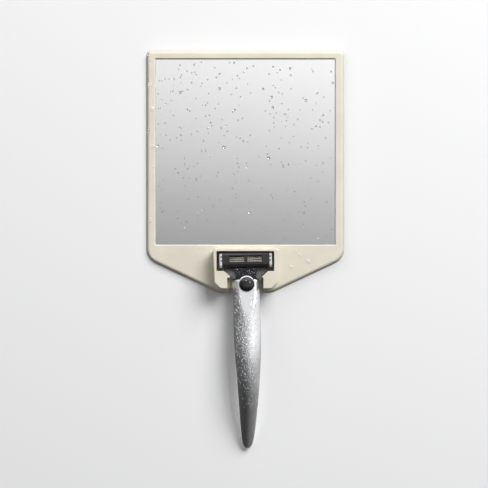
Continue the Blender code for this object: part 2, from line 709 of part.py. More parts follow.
def make_layers():
    """Build the flat pieces stacked between the wall and the frame's lip."""
    pad = inset(frame_corners(), PAD_MARGIN)
    piece("wall_grip_pad", standing("pad", [pad], 0, PAD_THICKNESS), GREY_RUBBER)

    plate_outline = inset(frame_corners(), REBATE_MARGIN + SIDE_GAP)
    plate = piece("back_plate", standing("plate", [plate_outline], PLATE_BACK, PLATE_FRONT), BACK_CREAM)
    for name, across, up in screw_places():
        shank_hole = rod(
            SCREW_SHANK_RADIUS + SCREW_CLEARANCE, 2 * (BACK_PLATE_THICKNESS + OVERRUN),
            out_from_wall(across, PLATE_BACK, up),
        )
        combine(plate, tool("cut_plate_hole_" + name, shank_hole))
        sink_place = out_from_wall(across, PLATE_BACK + SCREW_HEAD_HEIGHT / 2, up)
        sink = rod(
            SCREW_SHANK_RADIUS, SCREW_HEAD_HEIGHT + 2 * SCREW_CLEARANCE, sink_place,
            SCREW_HEAD_RADIUS + 2 * SCREW_CLEARANCE,
        )
        combine(plate, tool("cut_countersink_" + name, sink))

    strip_height = MIRROR_HEIGHT - 2 * TAPE_INSET
    strip_step = (MIRROR_WIDTH - 2 * TAPE_INSET - TAPE_WIDTH) / 3
    for index in range(4):
        centre = -MIRROR_WIDTH / 2 + TAPE_INSET + TAPE_WIDTH / 2 + index * strip_step
        strip = box_corners(TAPE_WIDTH, -strip_height / 2, strip_height / 2, centre=centre)
        piece(f"mirror_tape_{index + 1}", standing("tape", [strip], TAPE_BACK, TAPE_FRONT), WHITE_FOAM)

    pane = box_corners(MIRROR_WIDTH, -MIRROR_HEIGHT / 2, MIRROR_HEIGHT / 2)
    piece("mirror_plate", standing("mirror", [pane], MIRROR_BACK, MIRROR_FRONT), SILVERED)
    piece("anti_fog_film", standing("film", [pane], FILM_BACK, FILM_FRONT), CLEAR_FILM)
    seal = [pane, inset(pane, GASKET_WIDTH)]
    piece("window_gasket", standing("gasket", seal, GASKET_BACK, GASKET_FRONT), GREY_RUBBER)


def make_screw(name, place, head, length, countersunk):
    """Build a screw whose head is at its own top, with a cross recess in the head."""
    head_radius, head_height, shank_radius = head
    under_head = shank_radius if countersunk else head_radius
    profile = [
        (0, 0),
        (head_radius, 0),
        (under_head, -head_height),
        (shank_radius, -head_height),
        (shank_radius, -length + SCREW_TIP_LENGTH),
        (0, -length),
    ]
    if countersunk:
        profile.remove((under_head, -head_height))
    made = turned(name, profile, STEEL, place=place)
    arm = head_radius * RECESS_LENGTH_SHARE
    width = head_radius * RECESS_WIDTH_SHARE
    depth = head_height * RECESS_DEPTH_SHARE
    for index, (wide, deep) in enumerate(((arm, width), (width, arm))):
        recess = block((-wide / 2, -deep / 2, -depth), (wide / 2, deep / 2, OVERRUN))
        combine(made, tool(f"cut_recess_{name}_{index}", recess, place=place))


def make_screws():
    """Build the six screws of the back plate and the two of the cradle."""
    plate_head = (SCREW_HEAD_RADIUS, SCREW_HEAD_HEIGHT, SCREW_SHANK_RADIUS)
    for name, across, up in screw_places():
        place = out_from_wall(across, PLATE_BACK, up)
        make_screw("frame_screw_" + name, place, plate_head, SCREW_LENGTH, True)
    cradle_head = (CRADLE_SCREW_HEAD_RADIUS, CRADLE_SCREW_HEAD_HEIGHT, CRADLE_SCREW_SHANK_RADIUS)
    head_back = CHIN_INNER - GLUE_GAP - CRADLE_SCREW_HEAD_HEIGHT
    for name, side in (("left", -1), ("right", 1)):
        place = out_from_wall(side * CRADLE_SCREW_SPREAD, head_back, -CRADLE_SCREW_DROP)
        make_screw("cradle_screw_" + name, place, cradle_head, CRADLE_SCREW_LENGTH, False)


def yoke_side_at(fall):
    """Return how far out the yoke's sloped side lies, at a distance below the pivot."""
    return YOKE_WIDTH / 2 - (fall - YOKE_TOP_FALL - YOKE_SIDE_HEIGHT) / math.tan(SEAT_ANGLE)


def hook_corners():
    """Return the right half of the cradle's opening, from the bottom up: slot, hook, shelf and pocket."""
    lift = SEAT_GAP / math.cos(SEAT_ANGLE)

    def seat_at(drop):
        return yoke_side_at(drop - PIVOT_DROP - lift)

    tip_across = HOOK_SLOT_WIDTH / 2
    tip_drop = PIVOT_DROP + lift + YOKE_TOP_FALL + YOKE_SIDE_HEIGHT
    tip_drop += (YOKE_WIDTH / 2 - tip_across) * math.tan(SEAT_ANGLE)
    return [
        (LOWER_SLOT_WIDTH / 2, -CHIN_DROP, CAVITY_CORNER_RADIUS),
        (LOWER_SLOT_WIDTH / 2, -tip_drop - HOOK_LIP_HEIGHT, CAVITY_EDGE_RADIUS),
        (tip_across, -tip_drop - HOOK_LIP_HEIGHT, HOOK_TIP_RADIUS),
        (tip_across, -tip_drop, CAVITY_EDGE_RADIUS),
        (seat_at(SHELF_DROP), -SHELF_DROP, CAVITY_CORNER_RADIUS),
        (POCKET_WIDTH / 2, -SHELF_DROP, CAVITY_EDGE_RADIUS),
        (POCKET_WIDTH / 2, -CRADLE_TOP_DROP - CRADLE_TOP_WALL, CAVITY_CORNER_RADIUS),
    ]


def make_cradle():
    """Build the bracket on the chin: an upside-down U whose ends turn in as hooks."""
    outline = mirrored([
        (CRADLE_FOOT_WIDTH / 2, -CRADLE_FOOT_DROP, CRADLE_CORNER_RADIUS),
        (CRADLE_WAIST_WIDTH / 2, -CRADLE_WAIST_DROP, CRADLE_CORNER_RADIUS),
        (CRADLE_TOP_WIDTH / 2, -CRADLE_TOP_DROP, CRADLE_CORNER_RADIUS),
    ])
    mesh = standing("cradle", [outline], CRADLE_BACK, CRADLE_FRONT)
    mark_front_edges(mesh, CRADLE_FRONT)
    cradle = piece("razor_cradle", mesh, CREAM)
    round_edges(cradle, CRADLE_EDGE_RADIUS, 2, "WEIGHT")

    opening = standing("opening", [mirrored(hook_corners())], POCKET_BACK, CRADLE_FRONT + OVERRUN)
    tilt = math.tan(SEAT_SLOPE)
    for corner in opening.vertices:
        corner.co.z += (-corner.co.y - PIVOT_DEPTH) * tilt
    combine(cradle, tool("cut_opening", opening))

    depth = CRADLE_SCREW_LENGTH + 2 * SCREW_CLEARANCE
    for name, side in (("left", -1), ("right", 1)):
        place = out_from_wall(side * CRADLE_SCREW_SPREAD, CHIN_INNER + depth / 2, -CRADLE_SCREW_DROP)
        pilot = rod(CRADLE_SCREW_SHANK_RADIUS + SCREW_CLEARANCE, depth, place)
        combine(cradle, tool("cut_pilot_cradle_" + name, pilot))


def cartridge_section():
    """Return the cartridge's section, out from the pivot and up, anticlockwise."""
    back_shoulder = CARTRIDGE_RISE * BACK_SHOULDER_SHARE
    return [
        (-CARTRIDGE_BACK, -CARTRIDGE_FALL, CARTRIDGE_FALL),
        (GUARD_REACH, -CARTRIDGE_FALL, CAP_CORNER_RADIUS / 2),
        (GUARD_REACH, GUARD_HEIGHT - CARTRIDGE_FALL, CAP_CORNER_RADIUS),
        (CAP_REACH, CARTRIDGE_RISE, CAP_CORNER_RADIUS),
        (0, CARTRIDGE_RISE, CAP_CORNER_RADIUS / 2),
        (-CARTRIDGE_BACK, back_shoulder, CAP_CORNER_RADIUS),
    ]


def make_cartridge(axis):
    """Build the cartridge's housing, its strips, blades and end clips, on its pivot's axis."""
    half = CARTRIDGE_WIDTH / 2
    housing = piece(
        "cartridge_housing", crosswise("housing", [cartridge_section()], -half, half), BLACK_PLASTIC, axis
    )
    heel = block(
        (-HEEL_WIDTH / 2, 0, -HEEL_FALL),
        (HEEL_WIDTH / 2, HEEL_BACK, HEEL_RISE),
    )
    combine(housing, tool("join_heel", heel, axis), "UNION")

    bay = block(
        (-BLADE_BAY_WIDTH / 2, -GUARD_REACH - OVERRUN, BLADE_BAY_FLOOR),
        (BLADE_BAY_WIDTH / 2, -BLADE_BAY_BACK, BLADE_BAY_TOP),
    )
    combine(housing, tool("cut_blade_bay", bay, axis))
    for name, side in (("left", -1), ("right", 1)):
        inner = side * RINSE_WINDOW_STRUT / 2
        outer = inner + side * RINSE_WINDOW_WIDTH
        window = block(
            (min(inner, outer), -BLADE_BAY_BACK - OVERRUN, BLADE_BAY_FLOOR + RINSE_WINDOW_MARGIN),
            (max(inner, outer), CARTRIDGE_BACK + OVERRUN, BLADE_BAY_TOP - RINSE_WINDOW_MARGIN),
        )
        combine(housing, tool("cut_rinse_window_" + name, window, axis))

        notch_in = side * (EAR_INNER - RUNNING_GAP)
        notch_out = side * (EAR_INNER + EAR_THICKNESS + RUNNING_GAP)
        reach = EAR_RADIUS + RUNNING_GAP
        notch = block(
            (min(notch_in, notch_out), -reach, -CARTRIDGE_FALL - OVERRUN),
            (max(notch_in, notch_out), CARTRIDGE_BACK + OVERRUN, reach),
        )
        combine(housing, tool("cut_ear_notch_" + name, notch, axis))

        pin_length = EAR_THICKNESS + PIVOT_PIN_REACH + RUNNING_GAP
        pin_middle = side * (EAR_INNER + pin_length / 2)
        bore_place = Matrix.Translation((pin_middle, 0, 0)) @ Matrix.Rotation(math.radians(90), 4, "Y")
        bore = rod(PIVOT_PIN_RADIUS + FIT_GAP, pin_length + FIT_GAP, bore_place)
        combine(housing, tool("cut_pin_bore_" + name, bore, axis))

    strip_low = CARTRIDGE_RISE - STRIP_HEIGHT - STRIP_STANDOUT
    strip_front = CAP_REACH + STRIP_STANDOUT
    make_strip(
        housing, "lubricating_strip", GREY_STRIP, axis, STRIP_WIDTH,
        (strip_low, strip_low + STRIP_HEIGHT), (strip_front - STRIP_DEPTH, strip_front),
    )
    guard_low = -CARTRIDGE_FALL + STRIP_STANDOUT
    guard_front = GUARD_REACH + FIT_GAP
    make_strip(
        housing, "guard_strip", BLACK_RUBBER, axis, STRIP_WIDTH,
        (guard_low, guard_low + GUARD_HEIGHT), (guard_front - GUARD_DEPTH, guard_front),
    )
    make_blades(axis)
    make_clips(axis)


def make_strip(housing, name, finish, axis, width, heights, depths):
    """Build a bar let into the cartridge's front, and cut its groove."""
    low, high = heights
    back, front = depths
    strip = piece(name, block((-width / 2, -front, low), (width / 2, -back, high)), finish, axis)
    round_edges(strip, CAP_CORNER_RADIUS / 4)
    groove = block(
        (-width / 2 - FIT_GAP, -GUARD_REACH - OVERRUN, low - FIT_GAP),
        (width / 2 + FIT_GAP, -back + FIT_GAP, high + FIT_GAP),
    )
    combine(housing, tool("cut_groove_" + name, groove, axis))


def make_blades(axis):
    """Build the blades, which reach from end to end of their bay."""
    half = BLADE_BAY_WIDTH / 2 - FIT_GAP
    for index in range(BLADE_COUNT):
        rise = FIRST_BLADE_RISE + index * BLADE_PITCH
        reach = (BLADE_BAY_BACK + GUARD_REACH - (GUARD_REACH - CAP_REACH) * rise / CARTRIDGE_RISE) / 2
        blade = block(
            (-half, -BLADE_DEPTH / 2, -BLADE_THICKNESS / 2),
            (half, BLADE_DEPTH / 2, BLADE_THICKNESS / 2),
        )
        place = Matrix.Translation((0, -reach, rise)) @ Matrix.Rotation(BLADE_TILT, 4, "X")
        piece(f"blade_{index + 1}", blade, STEEL, axis, place)


def make_clips(axis):
    """Build the metal bands that wrap the cartridge near its ends."""
    inner = inset(cartridge_section(), -FIT_GAP)
    outer = inset(cartridge_section(), -FIT_GAP - CLIP_THICKNESS)
    for name, side in (("left", -1), ("right", 1)):
        far = side * (CARTRIDGE_WIDTH / 2 - CLIP_SHOULDER)
        near = far - side * CLIP_WIDTH
        band = crosswise("band", [outer, inner], min(near, far), max(near, far))
        piece("blade_clip_" + name, band, STEEL, axis)


def make_yoke(razor):
    """Build the yoke: a wedge under the cartridge with two ears that carry the pivot pins."""
    bottom = yoke_side_at(YOKE_BOTTOM_FALL)
    side_low = YOKE_TOP_FALL + YOKE_SIDE_HEIGHT
    radius = YOKE_EDGE_RADIUS
    wedge = mirrored([
        (bottom, -YOKE_BOTTOM_FALL, radius),
        (YOKE_WIDTH / 2, -side_low, radius),
        (YOKE_WIDTH / 2, -YOKE_TOP_FALL, radius),
    ])
    yoke = piece("cartridge_yoke", standing("wedge", [wedge], -YOKE_BACK, YOKE_FRONT), BLUE_GREY, razor)

    for name, side in (("left", -1), ("right", 1)):
        foot = -YOKE_TOP_FALL - YOKE_SIDE_HEIGHT / 2
        ear_outline = box_corners(2 * EAR_RADIUS, foot, EAR_RADIUS, EAR_RADIUS * EAR_ROUNDING_SHARE)
        ear_outline[0] = (-EAR_RADIUS, foot, 0)
        ear_outline[1] = (EAR_RADIUS, foot, 0)
        inner = side * EAR_INNER
        outer = side * (EAR_INNER + EAR_THICKNESS)
        ear = crosswise("ear", [ear_outline], min(inner, outer), max(inner, outer))
        combine(yoke, tool("join_ear_" + name, ear, razor), "UNION")
        pin_length = EAR_THICKNESS / 2 + PIVOT_PIN_REACH
        middle = side * (EAR_INNER + EAR_THICKNESS / 2 + pin_length / 2)
        pin_place = Matrix.Translation((middle, 0, 0)) @ Matrix.Rotation(math.radians(90), 4, "Y")
        pin = rod(PIVOT_PIN_RADIUS, pin_length, pin_place)
        combine(yoke, tool("join_pin_" + name, pin, razor), "UNION")

    well = block(
        (-HEEL_WIDTH / 2 - 2 * CORE_GAP, HEEL_WELL_DEPTH, -YOKE_TOP_FALL - HEEL_WELL_DEPTH),
        (HEEL_WIDTH / 2 + 2 * CORE_GAP, YOKE_BACK + OVERRUN, OVERRUN),
    )
    combine(yoke, tool("cut_heel_well", well, razor))
    combine(yoke, tool("cut_tongue_socket", tongue_space(), razor))
    combine(yoke, tool("cut_plunger_hole", plunger_space(-YOKE_BOTTOM_FALL), razor))


def tongue_space():
    """Return the socket in the yoke that the core's tongue fills."""
    half = TONGUE_WIDTH / 2 + CORE_GAP
    return block(
        (-half, CORE_DEPTH - CORE_THICKNESS / 2 - CORE_GAP, -YOKE_BOTTOM_FALL - OVERRUN),
        (half, CORE_DEPTH + CORE_THICKNESS / 2 + CORE_GAP, -TONGUE_TOP_FALL + CORE_GAP),
    )


def plunger_space(low):
    """Return the round hole that the plunger slides in, from a low end up past the yoke's top."""
    length = -low
    place = Matrix.Translation((0, CORE_DEPTH, low + length / 2))
    return rod(PLUNGER_RADIUS + BORE_GAP, length, place)


def make_core(razor):
    """Build the connector core, the plunger in its bore, and the plunger's spring."""
    outline = mirrored([
        (CORE_WIDTH / 2, -CORE_FALL, 0),
        (CORE_WIDTH / 2, -HANDLE_TOP_FALL - CORE_GAP, 0),
        (TONGUE_WIDTH / 2, -HANDLE_TOP_FALL - CORE_GAP, 0),
        (TONGUE_WIDTH / 2, -TONGUE_TOP_FALL, 0),
    ])
    back = -CORE_DEPTH - CORE_THICKNESS / 2
    mesh = standing("core", [outline], back, back + CORE_THICKNESS)
    core = piece("connector_core", mesh, BLACK_PLASTIC, razor)
    plunger_top = -HEEL_FALL - HEEL_GAP
    bore_low = plunger_top - PLUNGER_BORE_LENGTH
    combine(core, tool("cut_plunger_bore", plunger_space(bore_low), razor))

    profile = [
        (PLUNGER_RADIUS * math.sin(angle), PLUNGER_RADIUS * (math.cos(angle) - 1))
        for angle in (math.pi / 2 * step / DOME_STEPS for step in range(DOME_STEPS + 1))
    ]
    profile += [(PLUNGER_RADIUS, -PLUNGER_LENGTH), (0, -PLUNGER_LENGTH)]
    plunger_axis = empty("plunger_axis", Matrix.Translation((0, CORE_DEPTH, plunger_top)), razor)
    turned("return_plunger", profile, STEEL, plunger_axis)

    spring_high = -PLUNGER_LENGTH - CORE_GAP - SPRING_WIRE_RADIUS
    spring_low = -PLUNGER_BORE_LENGTH + CORE_GAP + SPRING_WIRE_RADIUS
    coil(
        "plunger_spring", STEEL, SPRING_COIL_RADIUS, SPRING_WIRE_RADIUS, SPRING_TURNS,
        spring_low, spring_high, razor, Matrix.Translation((0, CORE_DEPTH, plunger_top)),
    )


def handle_sections():
    """Return the handle's rings of points about the pivot, from its top to its tip."""
    rings = []
    wall = PIVOT_DEPTH - TIP_STANDOFF
    front_across_share, front_rise_share = FRONT_CURVE_SHARES
    back_across_share, back_rise_share = BACK_CURVE_SHARES
    stations = zip(FALL_SHARES, WIDTH_SHARES, BACK_SHARES, FRONT_SHARES)
    for fall_share, width_share, back_share, front_share in stations:
        up = -HANDLE_TOP_FALL - HANDLE_LENGTH * fall_share
        half_width = HANDLE_WIDTH / 2 * width_share
        back = wall - HANDLE_SPAN * back_share
        front = wall - HANDLE_SPAN * front_share
        widest = back + (front - back) * WIDEST_SHARE
        ring = []
        for step in range(SECTION_STEPS):
            angle = 2 * math.pi * (step + 0.5) / SECTION_STEPS
            across = math.cos(angle)
            if math.sin(angle) > 0:
                bow_share = (1 - abs(across) ** front_across_share) ** front_rise_share
                depth = widest + (front - widest) * bow_share
            else:
                bow_share = (1 - abs(across) ** back_across_share) ** back_rise_share
                depth = widest + (back - widest) * bow_share
            ring.append(Vector((half_width * across, depth, up)))
        rings.append(ring)
    return rings


def handle_mesh():
    """Return the handle's skin, lofted through its rings and closed at both ends."""
    edit = bmesh.new()
    rings = [[edit.verts.new(point) for point in ring] for ring in handle_sections()]
    for upper, lower in zip(rings, rings[1:]):
        for index in range(SECTION_STEPS):
            after = (index + 1) % SECTION_STEPS
            edit.faces.new((upper[index], upper[after], lower[after], lower[index]))
    edit.faces.new(rings[0])
    edit.faces.new(rings[-1])
    bmesh.ops.recalc_face_normals(edit, faces=edit.faces)
    mesh = bpy.data.meshes.new("handle")
    edit.to_mesh(mesh)
    edit.free()
    return mesh


def facet_depth(fall):
    """Return how far the facet stands out from the pivot, at a distance below the handle's top."""
    wall = PIVOT_DEPTH - TIP_STANDOFF
    end_share = FACET_LENGTH / HANDLE_LENGTH
    stations = list(zip(FALL_SHARES, FRONT_SHARES))
    for (low_fall, low_front), (high_fall, high_front) in zip(stations, stations[1:]):
        if low_fall <= end_share <= high_fall:
            part = (end_share - low_fall) / (high_fall - low_fall)
            end_front = low_front + (high_front - low_front) * part
    end_depth = HANDLE_SPAN * end_front - wall
    return end_depth - (FACET_LENGTH - fall) * math.tan(FACET_TILT)


def button_place():
    """Return the place of the button's centre, with its own -Y out of the facet and +Z up it."""
    centre = Vector((0, -facet_depth(BUTTON_FALL), -HANDLE_TOP_FALL - BUTTON_FALL))
    return Matrix.Translation(centre) @ Matrix.Rotation(-FACET_TILT, 4, "X")


def make_handle(razor, facet):
    """Build the handle, with its facet, its socket and the slider's channel."""
    handle = piece("handle_body", handle_mesh(), SATIN_SILVER, razor)
    side = HANDLE_WIDTH
    facet_cut = block((-side, -side, -side - FACET_LENGTH), (side, 0, side))
    combine(handle, tool("cut_facet", facet_cut, facet))

    half = CORE_WIDTH / 2 + CORE_GAP
    socket = block(
        (-half, CORE_DEPTH - CORE_THICKNESS / 2 - CORE_GAP, -CORE_FALL - CORE_GAP),
        (half, CORE_DEPTH + CORE_THICKNESS / 2 + CORE_GAP, 0),
    )
    combine(handle, tool("cut_core_socket", socket, razor))

    width = SLIDER_WIDTH / 2 + SLIDER_GAP
    channel = block(
        (-width, SLIDER_COVER - SLIDER_GAP, -SLIDER_FALL - BUTTON_SPRING_LENGTH),
        (width, SLIDER_COVER + SLIDER_THICKNESS + SLIDER_GAP, side),
    )
    combine(handle, tool("cut_slider_channel", channel, facet))
    slot_half = STEM_RADIUS + SLIDER_GAP
    slot = block((-slot_half, -OVERRUN, -slot_half), (slot_half, SLIDER_COVER + SLIDER_GAP, side))
    combine(handle, tool("cut_stem_slot", slot, facet))


def make_button(facet):
    """Build the release button, its rim, the slider under it and the slider's spring."""
    release = empty("release_axis", Matrix.Identity(4), facet)
    upright = Matrix.Rotation(math.radians(90), 4, "X")
    rim_base = BUTTON_GAP
    rim_top = rim_base + RIM_THICKNESS
    rim_profile = [
        (RIM_BORE_RADIUS, rim_top),
        (RIM_RADIUS - RIM_THICKNESS / 2, rim_top),
        (RIM_RADIUS, rim_top - RIM_THICKNESS / 2),
        (RIM_RADIUS, rim_base),
        (RIM_BORE_RADIUS, rim_base),
        (RIM_BORE_RADIUS, rim_top),
    ]
    turned("button_rim", rim_profile, SATIN_SILVER, release, upright)

    dome_base = rim_top + FIT_GAP
    profile = []
    for step in range(DOME_STEPS + 1):
        angle = math.pi / 2 * step / DOME_STEPS
        profile.append((BUTTON_RADIUS * math.sin(angle), dome_base + BUTTON_HEIGHT * math.cos(angle)))
    stem_end = -SLIDER_COVER + FIT_GAP
    profile += [(STEM_RADIUS, dome_base), (STEM_RADIUS, stem_end), (0, stem_end)]
    turned("release_button", profile, BLACK_PLASTIC, release, upright)

    slider = block(
        (-SLIDER_WIDTH / 2, SLIDER_COVER, -SLIDER_FALL),
        (SLIDER_WIDTH / 2, SLIDER_COVER + SLIDER_THICKNESS, SLIDER_RISE),
    )
    piece("ejector_slider", slider, BLACK_PLASTIC, release)

    low = -SLIDER_FALL - BUTTON_SPRING_LENGTH + CORE_GAP
    high = -SLIDER_FALL - CORE_GAP
    middle = SLIDER_COVER + SLIDER_THICKNESS / 2
    coil(
        "button_spring", STEEL, BUTTON_SPRING_RADIUS, BUTTON_SPRING_WIRE, BUTTON_SPRING_TURNS,
        low, high, facet, Matrix.Translation((0, middle, 0)),
    )


def make_razor():
    """Hang the razor in the cradle and build its pieces."""
    hang = Matrix.Translation((RAZOR_SIDE_SHIFT, -PIVOT_DEPTH, -PIVOT_DROP))
    razor = empty("razor_seat", hang @ Matrix.Rotation(RAZOR_LEAN, 4, "Y"))
    axis = empty("cartridge_axis", Matrix.Identity(4), razor)
    facet = empty("facet_centre", button_place(), razor)
    make_cartridge(axis)
    make_yoke(razor)
    make_core(razor)
    make_handle(razor, facet)
    make_button(facet)


make_front_frame()
make_layers()
make_screws()
make_cradle()
make_razor()
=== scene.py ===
"""The looks of a fogless shower mirror with a razor hanging in its holder.

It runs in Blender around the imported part. Units are metres, +Z is up and the front faces -Y. The wall is
the plane Y = 0, and a depth is a distance out from it, so it is laid along -Y. The razor's pieces are built
about its cartridge's pivot, where "out" is away from the wall, and then hung in place by one matrix.
"""

import json
import math
import random

import bmesh
import bpy
from mathutils import Matrix, Vector
from mathutils.bvhtree import BVHTree


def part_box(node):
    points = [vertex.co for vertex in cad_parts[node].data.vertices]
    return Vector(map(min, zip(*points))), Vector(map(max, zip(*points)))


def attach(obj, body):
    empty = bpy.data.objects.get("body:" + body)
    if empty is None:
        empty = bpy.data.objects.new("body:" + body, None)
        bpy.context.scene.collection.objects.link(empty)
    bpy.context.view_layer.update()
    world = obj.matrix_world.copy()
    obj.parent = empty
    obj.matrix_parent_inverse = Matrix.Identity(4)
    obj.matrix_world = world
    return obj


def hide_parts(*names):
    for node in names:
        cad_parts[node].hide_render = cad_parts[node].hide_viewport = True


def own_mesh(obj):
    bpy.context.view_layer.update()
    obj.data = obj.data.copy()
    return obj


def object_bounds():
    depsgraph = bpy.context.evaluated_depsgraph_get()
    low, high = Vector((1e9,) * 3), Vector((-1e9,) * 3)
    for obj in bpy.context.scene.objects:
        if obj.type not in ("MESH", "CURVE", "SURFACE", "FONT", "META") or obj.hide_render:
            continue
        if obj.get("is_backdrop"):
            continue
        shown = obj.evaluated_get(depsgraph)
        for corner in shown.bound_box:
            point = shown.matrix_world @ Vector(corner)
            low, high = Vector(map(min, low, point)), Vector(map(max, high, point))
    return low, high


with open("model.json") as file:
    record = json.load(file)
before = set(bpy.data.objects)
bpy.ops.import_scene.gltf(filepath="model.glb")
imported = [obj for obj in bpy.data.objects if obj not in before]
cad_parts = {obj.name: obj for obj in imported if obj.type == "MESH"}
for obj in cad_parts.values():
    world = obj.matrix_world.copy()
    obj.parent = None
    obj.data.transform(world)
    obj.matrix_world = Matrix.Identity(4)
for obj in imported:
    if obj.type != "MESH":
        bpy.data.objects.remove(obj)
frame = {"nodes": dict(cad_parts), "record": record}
cad_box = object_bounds()

MM = 0.001

# Camera and studio
CAMERA_SIDE = -0.93 * MM
CAMERA_HEIGHT = -68.6 * MM
CAMERA_DISTANCE = 1.2
VIEW_WIDTH = 0.3631
WALL_SET_BACK = 0.6 * MM
WALL_SIZE = 8.0
FLOOR_HEIGHT = -0.42
STUDIO_RADIUS = 3.2
LIGHT_TARGET = Vector((0.0, 0.0, -0.06))
KEY_PLACE = Vector((1.06, -1.63, 1.3))
KEY_POWER = 59.0
KEY_SIZE = 1.38
FILL_PLACE = Vector((-1.5, -1.5, 0.75))
FILL_POWER = 9.5
FILL_SIZE = 1.6
SPARKLE_PLACES = (Vector((0.16, -1.58, 1.46)), Vector((0.95, -1.65, 1.04)))
SPARKLE_POWER = 2.8
SPARKLE_SIZE = 0.2
AMBIENT_COLOUR = (0.985, 0.99, 1.0, 1.0)
AMBIENT_STRENGTH = 0.1

# How bright the studio looks in metal: by height, and from its left to its right
GLOW_HEIGHTS = ((-2.0, 0.11), (-1.57, 0.13), (-0.62, 0.26), (-0.2, 0.36), (-0.058, 0.433), (0.051, 0.54),
                (0.199, 0.74), (0.406, 0.972), (0.8, 0.9), (1.3, 0.82), (1.9, 0.92), (2.5, 2.3))
GLOW_SIDES = ((-3.0, 0.33), (-1.5, 0.5), (-0.25, 0.93), (0.0, 1.0), (0.25, 1.07), (1.5, 1.53), (3.0, 1.8))
EVEN_HEIGHTS = ((1.35, 0.0), (2.0, 1.0))
PALE = (0.90, 0.90, 0.905, 1.0)

# Where the razor hangs
PIVOT = Vector((0.4 * MM, -15.0 * MM, -84.2 * MM))
LEAN = math.radians(-1.1)
SEAT = Matrix.Translation(PIVOT) @ Matrix.Rotation(LEAN, 4, "Y")

# Front frame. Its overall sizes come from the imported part.
SHOULDER_DROP = 79.8 * MM
FOOT_WIDTH = 39.4 * MM
TOP_CORNER_RADIUS = 4.0 * MM
SHOULDER_RADIUS = 12.0 * MM
FOOT_RADIUS = 15.0 * MM
FRAME_EDGE_WIDTH = 3.0 * MM
FRAME_EDGE_DEPTH = 5.5 * MM
LIP_OVERLAP = 1.2 * MM
LIP_THICKNESS = 1.5 * MM
LIP_PROFILE = ((0.0, 0.0), (0.0, 0.5), (0.05, 0.75), (0.28, 1.12), (0.48, 1.31), (0.7, 1.43),
               (0.95, 1.485))
WINDOW_CORNER_RADIUS = 0.5 * MM
POCKET_GAP = 0.2 * MM
REBATE_MARGIN = 1.6 * MM
REBATE_DEPTH = 2.4 * MM
HOLLOW_WIDTH = 52.0 * MM
HOLLOW_TOP = -73.3 * MM
HOLLOW_FLOOR = -99.6 * MM
HOLLOW_DEPTH = 5.4 * MM
BACK_EDGE_RADIUS = 0.5 * MM

# Razor cradle
CRADLE_WAIST_WIDTH = 45.6 * MM
CRADLE_WAIST_DROP = 97.3 * MM
CRADLE_FOOT_WIDTH = 36.4 * MM
CRADLE_CORNER_RADIUS = 2.6 * MM
CRADLE_EDGE_RADIUS = 1.0 * MM
CRADLE_BACK_WALL = 1.4 * MM
OPENING_EDGE_RADIUS = 0.35 * MM
OPENING_RADII = [size * MM for size in (0.02, 0.5, 0.35, 0.6, 0.9, 0.5, 0.9)]
CAVITY_WIDTH = 42.4 * MM
CAVITY_TOP = -73.9 * MM
ROOF_LIP_DEPTH = 18.7 * MM
ROOF_LIP_DROP = 0.45 * MM
ROOF_LIP_RUN = 2.0 * MM
SHELF_DROP = 88.9 * MM
SEAT_TOP_WIDTH = 31.58 * MM
HOOK_TIP_DROP = 92.75 * MM
HOOK_SLOT_WIDTH = 22.4 * MM
HOOK_LIP_HEIGHT = 1.1 * MM
LOWER_SLOT_WIDTH = 26.6 * MM
SLOT_END_DROP = 115.1 * MM
SEAT_SLOPE = math.radians(4)
RIGHT_WALL_EXTRA = 1.2 * MM
RIGHT_SEAT_EXTRA = 0.9 * MM
RIGHT_HOOK_EXTRA = 1.4 * MM

# Cartridge, about its pivot
CARTRIDGE_WIDTH = 40.5 * MM
CARTRIDGE_FALL = 1.2 * MM
CARTRIDGE_RISE = 9.2 * MM
GUARD_REACH = 4.9 * MM
CAP_REACH = 3.3 * MM
CARTRIDGE_BACK = 1.8 * MM
GUARD_RISE = 0.3 * MM
BACK_RISE = 4.14 * MM
CARTRIDGE_RADII = [size * MM for size in (1.1, 0.6, 1.2, 1.2, 0.6, 1.2)]
SHELL_EDGE_RADIUS = 0.5 * MM
BAY_RADIUS = 0.2 * MM
BAY_WIDTH = 34.6 * MM
BAY_FLOOR = 1.2 * MM
BAY_TOP = 7.1 * MM
BAY_BACK = 0.9 * MM
STRUT_WIDTH = 2.4 * MM
RINSE_WIDTH = 10.6 * MM
RINSE_MARGIN = 0.7 * MM
RINSE_RADIUS = 0.4 * MM
STRIP_WIDTH = 34.0 * MM
STRIP_HEIGHT = 1.95 * MM
STRIP_FALL = 1.7 * MM
STRIP_DEPTH = 1.0 * MM
STRIP_FOOT_STANDOUT = 0.1 * MM
STRIP_STANDOUT = 0.3 * MM
STRIP_RADII = [size * MM for size in (0.02, 0.3, 0.8, 0.6, 0.02)]
STRIP_EDGE_RADIUS = 0.2 * MM
GUARD_LOW = -1.0 * MM
GUARD_HEIGHT = 1.8 * MM
GUARD_DEPTH = 1.1 * MM
GUARD_EDGE_RADIUS = 0.1 * MM
GUARD_FINS = 4
FIN_HEIGHT = 0.33 * MM
FIN_SHARES = (0.35, 0.65)
FIN_RADIUS = 0.06 * MM
COVER_THICKNESS = 0.5 * MM
COVER_LOW = 2.6 * MM
COVER_HIGH = 6.95 * MM
COVER_RADIUS = 0.3 * MM
FIT_GAP = 0.1 * MM
CLIP_SHOULDER = 0.9 * MM
CLIP_WIDTH = 1.9 * MM
CLIP_THICKNESS = 0.25 * MM
CLIP_EDGE_RADIUS = 0.15 * MM
CLIP_NOTCH_RISES = (3.0 * MM, 5.9 * MM)
CLIP_NOTCH_HEIGHT = 0.9 * MM
CLIP_NOTCH_WIDTH = 1.2 * MM
BLADE_DEPTH = 1.3 * MM
BLADE_THICKNESS = 0.3 * MM
BEND_RADIUS = 0.1 * MM
